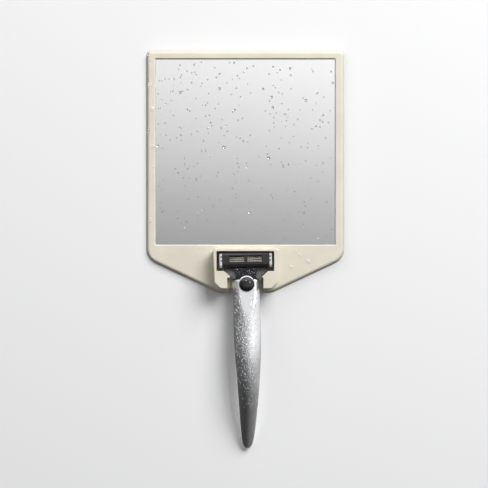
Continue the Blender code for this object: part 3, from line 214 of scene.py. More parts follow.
BEVEL_LENGTH = 0.9 * MM
BEVEL_TILT = math.radians(40)
BLADE_TILT = math.radians(22)
BLADE_RISES = (3.6 * MM, 5.05 * MM, 6.5 * MM)

# Yoke, about the pivot
YOKE_WIDTH = 32.8 * MM
YOKE_FOOT_WIDTH = 18.26 * MM
YOKE_TOP = -1.75 * MM
YOKE_SIDE = -3.6 * MM
YOKE_BOTTOM = -9.7 * MM
YOKE_BACK = 5.4 * MM
YOKE_FRONT = 1.4 * MM
YOKE_RADII = [size * MM for size in (0.5, 0.6, 0.6)]
YOKE_BACK_EDGE_RADIUS = 0.3 * MM
YOKE_FRONT_EDGE_RADIUS = 0.45 * MM
WING_TOP_REACH = 8.9 * MM
WING_FOOT_REACH = 7.5 * MM
WING_END_REACH = 8.4 * MM
WING_FOOT_RISE = 1.2 * MM
WING_RADII = [size * MM for size in (0.02, 1.0, 0.02, 0.02, 0.02)]
WING_SET_BACK = 0.3 * MM
WING_TILT = math.radians(12)
EAR_INNER = 14.4 * MM
EAR_THICKNESS = 1.6 * MM
EAR_RADIUS = 1.45 * MM
EAR_RADII = [size * MM for size in (0.02, 0.02, 0.02, 1.421, 1.421)]
# How far up the yoke's front faces tilt to get the lighter grey, which is painted light for the light they
# catch
PAINTED_LIGHT_TILT_SHARES = (0.1, 0.4)
PIN_RADIUS = 0.75 * MM
PIN_REACH = 2.0 * MM
RUNNING_GAP = 0.35 * MM
HEEL_WIDTH = 5.0 * MM
HEEL_FALL = 1.0 * MM
HEEL_RISE = 2.0 * MM
HEEL_BACK = 3.4 * MM
HEEL_WELL_MARGIN = 0.9 * MM

# Core, plunger and slider inside the handle
CORE_WIDTH = 11.4 * MM
CORE_THICKNESS = 3.4 * MM
CORE_SET_BACK = 2.4 * MM
CORE_FALL = 22.0 * MM
TONGUE_WIDTH = 9.6 * MM
TONGUE_TOP = -4.2 * MM
CORE_GAP = 0.3 * MM
BORE_RADIUS = 1.05 * MM
SLIDER_WIDTH = 4.9 * MM
SLIDER_BACK = 2.15 * MM
SLIDER_COVER = 0.75 * MM
SLIDER_FALL = 8.0 * MM
STEM_RADIUS = 1.5 * MM
STEM_GAP = 0.15 * MM
STEM_END_GAP = 0.05 * MM

# Handle, from its top to its tip
HANDLE_TOP = -10.3 * MM
HANDLE_LENGTH = 126.45 * MM
HANDLE_WIDTH = 20.8 * MM
HANDLE_SPAN = 26.2 * MM
HANDLE_BACK = 14.1 * MM
FALL_SHARES = (0.0, 0.005, 0.013, 0.035, 0.091, 0.151, 0.217, 0.296, 0.383, 0.470,
               0.557, 0.645, 0.734, 0.824, 0.888, 0.947, 0.983, 0.997, 1.0)
WIDTH_SHARES = (0.90, 0.955, 0.99, 1.0, 0.965, 0.945, 0.955, 0.965, 0.950, 0.902,
                0.822, 0.755, 0.672, 0.580, 0.505, 0.415, 0.290, 0.160, 0.070)
BACK_SHARES = (0.328, 0.328, 0.328, 0.328, 0.336, 0.363, 0.393, 0.431, 0.466, 0.492,
               0.492, 0.454, 0.363, 0.237, 0.141, 0.045, 0.010, 0.003, 0.012)
FRONT_SHARES = (0.625, 0.652, 0.669, 0.692, 0.771, 0.832, 0.863, 0.903, 0.956, 0.986,
                0.966, 0.900, 0.767, 0.588, 0.454, 0.302, 0.191, 0.126, 0.088)
WIDEST_SHARE = 0.42
CROWN_SHARES = (6.0, 6.0, 5.7, 5.0, 3.4, 2.6, 2.3, 2.2) + (2.1,) * 11
FRONT_CURVE_SHARE = 0.8
BACK_CURVE_SHARES = (3.0, 0.42)
HANDLE_TURN = math.radians(5.5)
FACET_LENGTH = 27.2 * MM
FACET_END_REACH = 8.51 * MM
FACET_TILT = math.radians(12)
FACET_CREASE = 0.22 * MM
RINGS_PER_SPAN = 5
RING_STEPS = 72

# Release button, about its centre on the facet
BUTTON_FALL = 3.4 * MM
BUTTON_RADIUS = 5.3 * MM
BUTTON_WIDENING = 1.06
BUTTON_HEIGHT = 1.9 * MM
BUTTON_SHIFT = 0.5 * MM
RIM_RADIUS = 6.0 * MM
RIM_BASE = 0.2 * MM
RIM_THICKNESS = 0.9 * MM
RIM_BORE_RADIUS = 2.2 * MM

# Water drops. A kind has its least radius and how much larger its largest is, in millimetres, the power that
# keeps large ones few, its height's share of its radius, and the limits of its stretch and of its tilt.
DROP_SEED = 20
DROP_STEPS = 12
DROP_RING_SHARES = (1.0, 0.97, 0.86, 0.62, 0.32)
DROP_SINK = 0.015 * MM
DROP_SPACING_SHARE = 0.8
CAST_START = -100.0 * MM
LARGE_DROP_SCALE = 1.3
LARGE_DROP_SHAPE = (0.42, 1.05, 0.0)
MIRROR_DROPS = 260
MIRROR_DROP = (0.42, 0.28, 2, 0.34, (1.0, 1.15), (-0.3, 0.3))
MIRROR_DROP_THINNING = 0.7
CHIN_DROPS = 110
CHIN_DROP = (0.35, 1.5, 3, 0.33, (1.0, 1.4), (-0.9, 0.9))
CHIN_DROP_RISES = (-16.0 * MM, 8.0 * MM)
DROP_MARGIN = 3.0 * MM
BORDER_DROP_SHARE = 0.3
BORDER_DROP_LIMITS = (1.2, 6.0)
YOKE_DROPS = 160
YOKE_DROP = (0.18, 0.18, 1, 0.7, (1.0, 1.5), (-1.0, 1.0))
HANDLE_BEADS = 900
HANDLE_BEAD = (0.5, 0.16, 1, 0.95, (1.1, 1.6), (0.3, 0.8))

# Where the handle's beads lie, as shares of its length and of its half width, and how they get smaller and
# flatter downwards. In a drifting pair, the second share is how far the place moves to the right downwards.
BEAD_SHRINKING = 0.26
BEAD_FLATTENING_SHARE = 0.45
BEAD_START_SHARE = 0.03
BEAD_SPAN_SHARE = 0.75
BEAD_DENSE_SHARE = 0.2
BEAD_SIDE_SHARES = (-0.9, 0.85)
BEAD_DRIFTING_SHARES = (-0.75, 1.2)
BARE_DRIFTING_SHARES = (-0.6, 0.5)
BARE_RIGHT_SHARE = 0.3

# How deep the materials' fine patterns are
PEEL_DEPTH = 0.09 * MM
GRAIN_DEPTH = 0.02 * MM
BRUSH_DEPTH = 0.01 * MM
FLAKE_DEPTH = 0.012 * MM
RIPPLE_DEPTH = 0.02 * MM
DIMPLE_DEPTH = 0.1 * MM
FOAM_DEPTH = 0.05 * MM

# Drawing aids
ARC_STEP = math.radians(6)
TINY_RADIUS = 0.02 * MM
NODE_EDGE_RADIUS = 0.25 * MM
NODE_WELD_DISTANCE = 0.002 * MM
WELD_DISTANCE = 0.0002 * MM
OVERRUN = 2.0 * MM
ROUND_STEPS = 6
SHARP_ANGLE = math.radians(32)
OUTWARDS = Matrix.Rotation(math.pi / 2, 4, "X")
ACROSS = Matrix.Rotation(math.pi / 2, 4, "Y")


def corner_arc(before, corner, after, radius):
    """Return the points that round one corner of an outline."""
    to_before = (before - corner).normalized()
    to_after = (after - corner).normalized()
    opening = to_before.angle(to_after)
    turn = math.pi - opening
    reach = radius / math.tan(opening / 2)
    centre = corner + (to_before + to_after).normalized() * radius / math.sin(opening / 2)
    start = corner + to_before * reach - centre
    sweep = -math.copysign(turn, to_before.cross(to_after))
    steps = max(2, round(turn / ARC_STEP))
    return [centre + Matrix.Rotation(sweep * step / steps, 2) @ start for step in range(steps + 1)]


def outline(corners, inwards=0.0):
    """Return a closed outline from corners given as (across, up, radius), moved inwards by a distance.

    The corners run anticlockwise. Each distance gives as many points, so that outlines can be skinned.
    """
    points = [Vector(corner[:2]) for corner in corners]
    count = len(points)
    moved = []
    for index, corner in enumerate(corners):
        before = (points[index] - points[index - 1]).normalized()
        after = (points[(index + 1) % count] - points[index]).normalized()
        inward_before = Vector((-before.y, before.x))
        inward_after = Vector((-after.y, after.x))
        shift = (inward_before + inward_after) / (1 + inward_before.dot(inward_after))
        convex = before.cross(after) > 0
        radius = corner[2] - inwards if convex else corner[2] + inwards
        moved.append((points[index] + shift * inwards, max(radius, TINY_RADIUS)))
    traced = []
    for index, (place, radius) in enumerate(moved):
        traced += corner_arc(moved[index - 1][0], place, moved[(index + 1) % count][0], radius)
    return traced


def flipped(corners):
    """Return an outline's corners on the other side of the middle, still anticlockwise."""
    return [(-across, up, radius) for across, up, radius in reversed(corners)]


def mirrored(right_half):
    """Return an anticlockwise outline from its right half, listed from the bottom up."""
    return right_half + flipped(right_half)


def rounded(places, radii):
    """Return an outline's corners from its places and their radii."""
    return [(across, up, radius) for (across, up), radius in zip(places, radii)]


def box_corners(left, right, low, high, radius):
    """Return the corners of an upright rectangle, anticlockwise."""
    return [(left, low, radius), (right, low, radius), (right, high, radius), (left, high, radius)]


def beside(side, near, far):
    """Return two distances from the middle, on its left (-1) or right (1), in rising order."""
    return sorted((side * near, side * far))


def quarter_turn(steps):
    """Return the angles from none to a right angle, in even steps."""
    return [math.pi / 2 * step / steps for step in range(steps + 1)]


def edge_stations(start, end, start_radius, end_radius=None, end_depth=None):
    """Return (inwards, place) for a slab between two places whose two rims are rounded.

    The rim at the end may be rounded otherwise, and deeper than it is wide.
    """
    end_radius = end_radius or start_radius
    end_depth = end_depth or end_radius
    rounding = [(1 - math.sin(angle), 1 - math.cos(angle)) for angle in quarter_turn(ROUND_STEPS)]
    stations = [(start_radius * lift, start + start_radius * run) for lift, run in rounding]
    return stations + [(end_radius * lift, end - end_depth * run) for lift, run in reversed(rounding)]


def flare_stations(start, end, radius):
    """Return (inwards, place) for a cutter that rounds the rim it leaves at its end."""
    stations = [(radius * (math.cos(angle) - 1), end - radius * (1 - math.sin(angle)))
                for angle in quarter_turn(ROUND_STEPS)[:-1]]
    return [(0.0, start)] + stations + [(stations[-1][0], end + OVERRUN)]


def link_object(name, data):
    """Return a new object in the scene."""
    made = bpy.data.objects.new(name, data)
    bpy.context.scene.collection.objects.link(made)
    return made


def from_bmesh(name, edit):
    """Return a new object made from a bmesh."""
    mesh = bpy.data.meshes.new(name)
    edit.to_mesh(mesh)
    edit.free()
    return link_object(name, mesh)


def solid(name, edit):
    """Return a new object made from a bmesh, welded and with its faces pointing out."""
    bmesh.ops.remove_doubles(edit, verts=edit.verts, dist=WELD_DISTANCE)
    bmesh.ops.recalc_face_normals(edit, faces=edit.faces)
    return from_bmesh(name, edit)


def join_rings(edit, rings):
    """Lay faces between the rings of corners of a bmesh."""
    for lower, upper in zip(rings, rings[1:]):
        for index, corner in enumerate(lower):
            after = (index + 1) % len(lower)
            edit.faces.new((corner, lower[after], upper[after], upper[index]))


def skin(name, rings):
    """Return a mesh object through rings of points, closed with a face at both ends."""
    edit = bmesh.new()
    made = [[edit.verts.new(point) for point in ring] for ring in rings]
    join_rings(edit, made)
    edit.faces.new(made[0])
    edit.faces.new(made[-1])
    return solid(name, edit)


def standing(name, corners, stations, lean_of=None):
    """Return a solid whose outlines face the front, one for each (inwards, depth)."""
    rings = []
    for inwards, depth in stations:
        shown = lean_of(corners, depth) if lean_of else corners
        rings.append([(point.x, -depth, point.y) for point in outline(shown, inwards)])
    return skin(name, rings)


def crosswise(name, corners, stations):
    """Return a solid whose outlines are given out from the wall and up, one for each (inwards, across)."""
    rings = []
    for inwards, across in stations:
        rings.append([(across, -point.x, point.y) for point in outline(corners, inwards)])
    return skin(name, rings)


def block(name, low, high):
    """Return a box between two corners."""
    corners = box_corners(low[0], high[0], low[2], high[2], TINY_RADIUS)
    return standing(name, corners, ((0.0, -high[1]), (0.0, -low[1])))


def rod(name, radius, length, place):
    """Return a round bar along its own Z, centred, moved to a place."""
    steps = RING_STEPS // 2
    turns = [2 * math.pi * step / steps for step in range(steps)]
    rings = [[(radius * math.cos(turn), radius * math.sin(turn), level * length) for turn in turns]
             for level in (-0.5, 0.5)]
    made = skin(name, rings)
    made.data.transform(place)
    return made


def cross_rod(name, radius, length, middle):
    """Return a round bar through the pivot's axis, about a place along it."""
    return rod(name, radius, length, Matrix.Translation((middle, 0.0, 0.0)) @ ACROSS)


def core_block(name, width, low, high):
    """Return the cutter for a stretch of the razor's flat core, with its clearance."""
    half = width / 2 + CORE_GAP
    reach = CORE_THICKNESS / 2 + CORE_GAP
    return block(name, (-half, CORE_SET_BACK - reach, low), (half, CORE_SET_BACK + reach, high))


def turned(name, profile, place):
    """Return a turned solid from a closed or axis-to-axis profile of (radius, height), moved to a place."""
    edit = bmesh.new()
    corners = [edit.verts.new((radius, 0.0, height)) for radius, height in profile]
    lines = [edit.edges.new(pair) for pair in zip(corners, corners[1:])]
    bmesh.ops.spin(
        edit, geom=corners + lines, cent=(0, 0, 0), axis=(0, 0, 1), angle=2 * math.pi,
        steps=RING_STEPS, use_merge=True, use_duplicate=False,
    )
    made = solid(name, edit)
    made.data.transform(place)
    return made


def carve(piece, cutters, operation="DIFFERENCE"):
    """Cut solids away from a piece, or join them on, and remove them."""
    for cutter in cutters:
        change = piece.modifiers.new(cutter.name, "BOOLEAN")
        change.operation = operation
        change.object = cutter
    bpy.context.view_layer.update()
    seen = piece.evaluated_get(bpy.context.evaluated_depsgraph_get())
    mesh = bpy.data.meshes.new_from_object(seen)
    piece.modifiers.clear()
    piece.data = mesh
    for cutter in cutters:
        bpy.data.objects.remove(cutter, do_unlink=True)


def smooth(piece):
    """Shade a piece smooth up to its sharp edges, and keep its flat faces flat."""
    piece.data.shade_smooth()
    piece.data.set_sharp_from_angle(angle=SHARP_ANGLE)
    weigh = piece.modifiers.new("flat_faces", "WEIGHTED_NORMAL")
    weigh.keep_sharp = True
    weigh.weight = 80


def place_piece(piece, look, body, slot, *nodes):
    """Give a piece its material and its body, and hide the CAD nodes that it stands for. Its slot is not
    used.
    """
    piece.data.materials.clear()
    piece.data.materials.append(LOOKS[look])
    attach(piece, body)
    if nodes:
        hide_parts(*nodes)
    return piece


def finish(piece, look, body, node, slot=None):
    """Shade a piece and put it in the place of its CAD node. Its slot, its look's name unless given, is
    passed on but not used.
    """
    smooth(piece)
    return place_piece(piece, look, body, slot or look, node)


def new_material(name, colour, roughness, metallic=0.0):
    """Return a material, its tree, its shader and a socket with positions in metres."""
    look = bpy.data.materials.new(name)
    look.use_nodes = True
    tree = look.node_tree
    shader = tree.nodes["Principled BSDF"]
    shader.inputs["Base Color"].default_value = (*colour, 1.0)
    shader.inputs["Roughness"].default_value = roughness
    shader.inputs["Metallic"].default_value = metallic
    places = tree.nodes.new("ShaderNodeTexCoord").outputs["Object"]
    return look, tree, shader, places


def add_node(tree, kind, inputs):
    """Return a new shader node. Its inputs, by name or number, are set to values or linked to sockets."""
    node = tree.nodes.new("ShaderNode" + kind)
    for key, value in inputs.items():
        if isinstance(value, bpy.types.NodeSocket):
            tree.links.new(value, node.inputs[key])
        else:
            node.inputs[key].default_value = value
    return node


def combined(tree, operation, first, second):
    """Return the socket of an operation on two sockets or numbers."""
    node = add_node(tree, "Math", {0: first, 1: second})
    node.operation = operation
    return node.outputs["Value"]


def noise(tree, places, scale, detail=3.0, stretch=None):
    """Return the socket of a noise pattern with so many features in a metre."""
    if stretch:
        places = add_node(tree, "Mapping", {"Scale": stretch, "Vector": places}).outputs["Vector"]
    return add_node(tree, "TexNoise", {"Scale": scale, "Detail": detail, "Vector": places}).outputs["Fac"]


def ramp(tree, source, stops):
    """Return the socket of a colour ramp, with stops given as (position, colour)."""
    made = add_node(tree, "ValToRGB", {"Fac": source})
    elements = made.color_ramp.elements
    elements.remove(elements[-1])
    for index, (position, colour) in enumerate(stops):
        element = elements.new(position) if index else elements[0]
        element.position = position
        shade = colour if hasattr(colour, "__len__") else (colour,) * 3
        element.color = (*shade, 1.0)
    return made.outputs["Color"]


def vary(tree, shader, name, source, stops):
    """Let a pattern set one of a shader's inputs, through a ramp."""
    tree.links.new(ramp(tree, source, stops), shader.inputs[name])


def bump(tree, shader, height, strength, distance):
    """Lay a bump on a shader, over the bumps that it has."""
    made = add_node(tree, "Bump", {"Strength": strength, "Distance": distance, "Height": height})
    normal = shader.inputs["Normal"]
    if normal.is_linked:
        tree.links.new(normal.links[0].from_socket, made.inputs["Normal"])
    tree.links.new(made.outputs["Normal"], normal)


def tinted(colour, factor):
    """Return a colour made lighter or darker."""
    return tuple(min(1.0, part * factor) for part in colour)


def moulded(name, colour, roughness, peel=0.3, mottle=0.04):
    """Return a moulded plastic: slightly uneven in colour and gloss, with the mould's fine grain."""
    look, tree, shader, places = new_material(name, colour, roughness)
    tones = ((0.35, tinted(colour, 1 - mottle)), (0.65, tinted(colour, 1 + mottle)))
    vary(tree, shader, "Base Color", noise(tree, places, 55.0, 4.0), tones)
    spread = ((0.3, roughness * 0.82), (0.7, roughness * 1.2))
    vary(tree, shader, "Roughness", noise(tree, places, 240.0), spread)
    bump(tree, shader, noise(tree, places, 620.0, 2.0), peel, PEEL_DEPTH)
    bump(tree, shader, noise(tree, places, 3200.0, 2.0), peel, GRAIN_DEPTH)
    return look


def brushed(name, colour, roughness, grain=0.25):
    """Return a metal with fine lines drawn from its left to its right."""
    look, tree, shader, places = new_material(name, colour, roughness, 1.0)
    lines = noise(tree, places, 900.0, stretch=(0.05, 1.0, 1.0))
    vary(tree, shader, "Roughness", lines, ((0.3, roughness * 0.75), (0.7, roughness * 1.3)))
    tones = ((0.3, tinted(colour, 0.93)), (0.7, tinted(colour, 1.05)))
    vary(tree, shader, "Base Color", noise(tree, places, 160.0), tones)
    bump(tree, shader, lines, grain, BRUSH_DEPTH)
    return look


def satin_silver():
    """Return the handle's satin metal, sprayed with fine flakes."""
    colour = (0.77, 0.775, 0.79)
    look, tree, shader, places = new_material("satin_silver_paint", colour, 0.3, 1.0)
    flakes = noise(tree, places, 5200.0, 2.0)
    vary(tree, shader, "Base Color", flakes, ((0.35, tinted(colour, 0.9)), (0.65, tinted(colour, 1.08))))
    vary(tree, shader, "Roughness", noise(tree, places, 180.0, 4.0), ((0.3, 0.26), (0.7, 0.36)))
    bump(tree, shader, flakes, 0.2, FLAKE_DEPTH)
    return look


def silvering():
    """Return the mirror's silver, with faint marks that dried water has left."""
    look, tree, shader, places = new_material("silvering", (0.935, 0.935, 0.935), 0.012, 1.0)
    vary(tree, shader, "Roughness", noise(tree, places, 90.0, 5.0), ((0.45, 0.008), (0.75, 0.03)))
    return look


def clear(name, shade, index, ripples, strength, mirroring=0.0):
    """Return clear film or water: its shade, its index, its ripples' (scale, detail) and how strong they are.

    Mirroring is the share of light that a drop throws back from the metal under it.
    """
    look, tree, shader, places = new_material(name, (shade,) * 3, 0.0, mirroring)
    shader.inputs["Transmission Weight"].default_value = 1.0
    shader.inputs["IOR"].default_value = index
    bump(tree, shader, noise(tree, places, *ripples), strength, RIPPLE_DEPTH)
    return look


def rubber(name, colour, dimples):
    """Return a matt rubber with a fine pattern of round dimples."""
    look, tree, shader, places = new_material(name, colour, 0.75)
    cells = add_node(tree, "TexVoronoi", {"Scale": dimples, "Vector": places})
    bump(tree, shader, cells.outputs["Distance"], 0.5, DIMPLE_DEPTH)
    tones = ((0.4, tinted(colour, 0.85)), (0.7, tinted(colour, 1.25)))
    vary(tree, shader, "Base Color", noise(tree, places, 300.0, 4.0), tones)
    return look


def foam():
    """Return white foam tape."""
    look, tree, shader, places = new_material("foam_tape", (0.78, 0.78, 0.76), 0.9)
    bump(tree, shader, noise(tree, places, 2400.0, 2.0), 0.6, FOAM_DEPTH)
    return look


LOOKS = {
    "cream": moulded("cream_plastic", (0.765, 0.72, 0.607), 0.4),
    "back_cream": moulded("back_cream_plastic", (0.68, 0.64, 0.54), 0.55, 0.5),
    "silvered": silvering(),
    "clear_film": clear("water_spreading_film", 0.98, 1.36, (30.0, 2.0), 0.05),
    "grey_rubber": rubber("grip_rubber", (0.17, 0.17, 0.175), 420.0),
    "white_foam": foam(),
    "steel": brushed("bright_steel", (0.72, 0.73, 0.75), 0.22),
    "blade_coat": brushed("coated_blade_steel", (0.14, 0.13, 0.112), 0.26, 0.05),
    "satin_silver": satin_silver(),
    "blue_grey": moulded("blue_grey_plastic", (0.009, 0.009, 0.014), 0.3, 0.9, 0.2),
    # A lighter grey for the yoke's upward faces: painted light and painted sheen, standing in for the light
    # and wet shine these faces catch
    "painted_light_grey": moulded("painted_light_yoke_plastic", (0.12, 0.12, 0.124), 0.45, 0.9, 0.35),
    "black_plastic": moulded("black_plastic", (0.012, 0.011, 0.012), 0.3, 0.3, 0.2),
    "gloss_black": moulded("gloss_black_plastic", (0.003, 0.003, 0.004), 0.1, 0.03, 0.2),
    "black_rubber": rubber("guard_rubber", (0.012, 0.012, 0.013), 1600.0),
    "grey_strip": moulded("grey_lubricant", (0.15, 0.135, 0.15), 0.45, 0.5, 0.1),
    "water": clear("clear_water", 1.0, 1.33, (700.0, 1.0), 0.1, 0.12),
    "bead_water": clear("beaded_water", 1.0, 1.33, (700.0, 1.0), 0.1, 0.38),
}


def frame_corners():
    """Return the front frame's outline."""
    low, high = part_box("front_frame")
    return mirrored([
        (FOOT_WIDTH / 2, low.z, FOOT_RADIUS),
        (high.x, -SHOULDER_DROP, SHOULDER_RADIUS),
        (high.x, high.z, TOP_CORNER_RADIUS),
    ])


def screw_hole(name, deep=None):
    """Return the cutter for a screw, a little deeper than it, or as deep as given."""
    low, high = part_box(name)
    deep = deep or POCKET_GAP - low.y
    radius = (high.x - low.x) / 4 + POCKET_GAP
    place = Matrix.Translation(((low.x + high.x) / 2, -deep / 2, (low.z + high.z) / 2))
    return rod("hole_" + name, radius, deep, place @ OUTWARDS)


def make_frame():
    """Build the cream moulding round the mirror, with the chin below it."""
    low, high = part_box("front_frame")
    front = -low.y
    lip_back = front - LIP_THICKNESS
    stations = edge_stations(-high.y, front, BACK_EDGE_RADIUS, FRAME_EDGE_WIDTH, FRAME_EDGE_DEPTH)
    moulding = standing("frame_moulding", frame_corners(), stations)

    low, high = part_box("mirror_plate")
    side = high.x - LIP_OVERLAP
    corners = box_corners(-side, side, low.z + LIP_OVERLAP, high.z - LIP_OVERLAP, WINDOW_CORNER_RADIUS)
    profile = [(0.0, -OVERRUN)]
    profile += [(-wider * MM, lip_back + higher * MM) for wider, higher in LIP_PROFILE]
    profile.append((profile[-1][0], front + OVERRUN))
    window = standing("window", corners, profile)
    gap = POCKET_GAP
    pocket = block("pocket", (low.x - gap, -lip_back, low.z - gap), (high.x + gap, OVERRUN, high.z + gap))
    rebate = standing("rebate", frame_corners(), ((REBATE_MARGIN, -OVERRUN), (REBATE_MARGIN, REBATE_DEPTH)))
    side = HOLLOW_WIDTH / 2
    hollow = block("hollow", (-side, -HOLLOW_DEPTH, HOLLOW_FLOOR), (side, OVERRUN, HOLLOW_TOP))
    holes = [screw_hole(name, front + OVERRUN if name.startswith("cradle") else None)
             for name in frame["nodes"] if "screw" in name]
    carve(moulding, [rebate, pocket, window, hollow] + holes)
    return finish(moulding, "cream", "mirror_unit", "front_frame")


def opening_corners():
    """Return the outline of the cradle's opening: lower slot, hooks, shelves and pocket."""
    slot = LOWER_SLOT_WIDTH / 2
    hook = HOOK_SLOT_WIDTH / 2
    seat = SEAT_TOP_WIDTH / 2
    wall = CAVITY_WIDTH / 2
    lip = -HOOK_TIP_DROP - HOOK_LIP_HEIGHT
    places = ((slot, -SLOT_END_DROP), (slot, lip), (hook, lip), (hook, -HOOK_TIP_DROP), (seat, -SHELF_DROP),
              (wall, -SHELF_DROP), (wall, CAVITY_TOP))
    extras = {hook: RIGHT_HOOK_EXTRA, seat: RIGHT_SEAT_EXTRA}
    return [(across + extras.get(across, 0.0), up, radius)
            for across, up, radius in mirrored(rounded(places, OPENING_RADII))]


def sloped(corners, depth):
    """Return the opening's outline at a depth. It rises towards the front, where its roof has a lower lip."""
    lift = (depth + PIVOT.y) * math.tan(SEAT_SLOPE)
    drop = ROOF_LIP_DROP if depth >= ROOF_LIP_DEPTH else 0.0
    return [(across, up + lift - drop * (up == CAVITY_TOP), radius) for across, up, radius in corners]


def make_cradle():
    """Build the bracket that the razor hangs in."""
    low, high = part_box("razor_cradle")
    back = -high.y
    front = -low.y
    places = ((CRADLE_FOOT_WIDTH / 2, low.z), (CRADLE_WAIST_WIDTH / 2, -CRADLE_WAIST_DROP), (high.x, high.z))
    corners = [(across + RIGHT_WALL_EXTRA * (across > 0), up, radius)
               for across, up, radius in mirrored(rounded(places, [CRADLE_CORNER_RADIUS] * len(places)))]
    cradle = standing("cradle_moulding", corners, edge_stations(back, front, TINY_RADIUS, CRADLE_EDGE_RADIUS))
    stations = flare_stations(back + CRADLE_BACK_WALL, front, OPENING_EDGE_RADIUS)
    stations[1:1] = [(0.0, ROOF_LIP_DEPTH - ROOF_LIP_RUN), (0.0, ROOF_LIP_DEPTH)]
    opening = standing("opening", opening_corners(), stations, sloped)
    carve(cradle, [opening, screw_hole("cradle_screw_left"), screw_hole("cradle_screw_right")])
    finish(cradle, "cream", "mirror_unit", "razor_cradle")


def cartridge_corners():
    """Return the cartridge's section, out from the pivot and up."""
    places = ((-CARTRIDGE_BACK, -CARTRIDGE_FALL), (GUARD_REACH, -CARTRIDGE_FALL), (GUARD_REACH, GUARD_RISE),
              (CAP_REACH, CARTRIDGE_RISE), (0.0, CARTRIDGE_RISE), (-CARTRIDGE_BACK, BACK_RISE))
    return rounded(places, CARTRIDGE_RADII)


def front_reach(rise):
    """Return how far the cartridge's sloping front stands out from the pivot at a rise."""
    return GUARD_REACH - (GUARD_REACH - CAP_REACH) * rise / CARTRIDGE_RISE


def hang(piece, look, body, node, slot=None):
    """Finish a piece built about the pivot, at the place where the razor hangs."""
    piece.data.transform(SEAT)
    return finish(piece, look, body, node, slot)


def make_housing():
    """Build the cartridge's black housing, with its blade bay and rinse windows."""
    half = CARTRIDGE_WIDTH / 2
    stations = edge_stations(-half, half, SHELL_EDGE_RADIUS)
    housing = crosswise("cartridge_shell", cartridge_corners(), stations)
    half = HEEL_WIDTH / 2
    carve(housing, [block("heel", (-half, 0.0, -HEEL_FALL), (half, HEEL_BACK, HEEL_RISE))], "UNION")

    places = ((BAY_BACK, BAY_FLOOR), (front_reach(BAY_FLOOR) - COVER_THICKNESS, BAY_FLOOR),
              (front_reach(BAY_TOP) - COVER_THICKNESS, BAY_TOP), (BAY_BACK, BAY_TOP))
    corners = rounded(places, [BAY_RADIUS] * len(places))
    cutters = [crosswise("bay", corners, ((0.0, -BAY_WIDTH / 2), (0.0, BAY_WIDTH / 2)))]
    reach = STRIP_WIDTH / 2 + FIT_GAP
    low = CARTRIDGE_RISE - STRIP_FALL
    grooves = (("strip_groove", low, CARTRIDGE_RISE + OVERRUN, CAP_REACH - STRIP_DEPTH),
               ("guard_groove", GUARD_LOW, GUARD_LOW + GUARD_HEIGHT, GUARD_REACH - GUARD_DEPTH))
    for name, low, high, back in grooves:
        near = (-reach, -GUARD_REACH - OVERRUN, low - FIT_GAP)
        cutters.append(block(name, near, (reach, FIT_GAP - back, high + FIT_GAP)))
    for side in (-1, 1):
        inner, outer = beside(side, STRUT_WIDTH / 2, STRUT_WIDTH / 2 + RINSE_WIDTH)
        windows = (
            ("rinse_window", BAY_FLOOR + RINSE_MARGIN, BAY_TOP - RINSE_MARGIN, RINSE_RADIUS,
             ((0.0, -CARTRIDGE_BACK - OVERRUN), (0.0, BAY_BACK + OVERRUN))),
            ("front_window", COVER_LOW, COVER_HIGH, COVER_RADIUS,
             ((0.0, BAY_BACK), (0.0, GUARD_REACH + OVERRUN))),
        )
        for name, low, high, radius, stations in windows:
            corners = box_corners(inner, outer, low, high, radius)
            cutters.append(standing(f"{name}_{side}", corners, stations))
        inner, outer = beside(side, EAR_INNER - RUNNING_GAP, EAR_INNER + EAR_THICKNESS + RUNNING_GAP)
        reach = EAR_RADIUS + RUNNING_GAP
        near = (inner, -reach, -CARTRIDGE_FALL - OVERRUN)
        cutters.append(block(f"ear_notch_{side}", near, (outer, CARTRIDGE_BACK + OVERRUN, reach)))
        length = EAR_THICKNESS + PIN_REACH + RUNNING_GAP
        middle = side * (EAR_INNER + length / 2)
        cutters.append(cross_rod(f"pin_bore_{side}", PIN_RADIUS + FIT_GAP, length + FIT_GAP, middle))
    carve(housing, cutters)
    hang(housing, "black_plastic", "cartridge", "cartridge_housing")


def make_strips():
    """Build the lubricating strip and the guard, whose front is finned."""
    half = STRIP_WIDTH / 2
    low = CARTRIDGE_RISE - STRIP_FALL
    middle = low + STRIP_HEIGHT / 2
    high = low + STRIP_HEIGHT
    back = CAP_REACH - STRIP_DEPTH
    places = ((back, low), (front_reach(low) + STRIP_FOOT_STANDOUT, low),
              (front_reach(middle) + STRIP_STANDOUT, middle), (CAP_REACH, high), (back, high))
    stations = edge_stations(-half, half, STRIP_EDGE_RADIUS)
    strip = crosswise("lubricant_bar", rounded(places, STRIP_RADII), stations)
    hang(strip, "grey_strip", "cartridge", "lubricating_strip")

    back = GUARD_REACH - GUARD_DEPTH
    valley = GUARD_REACH - FIN_HEIGHT
    pitch = GUARD_HEIGHT / GUARD_FINS
    corners = [(back, GUARD_LOW, TINY_RADIUS)]
    for fin in range(GUARD_FINS):
        foot = GUARD_LOW + fin * pitch
        corners.append((valley, foot + TINY_RADIUS, TINY_RADIUS))
        corners += [(GUARD_REACH, foot + pitch * share, FIN_RADIUS) for share in FIN_SHARES]
        corners.append((valley, foot + pitch - TINY_RADIUS, TINY_RADIUS))
    corners.append((back, GUARD_LOW + GUARD_HEIGHT, TINY_RADIUS))
    guard = crosswise("guard_fins", corners, edge_stations(-half, half, GUARD_EDGE_RADIUS))
    hang(guard, "black_rubber", "cartridge", "guard_strip")


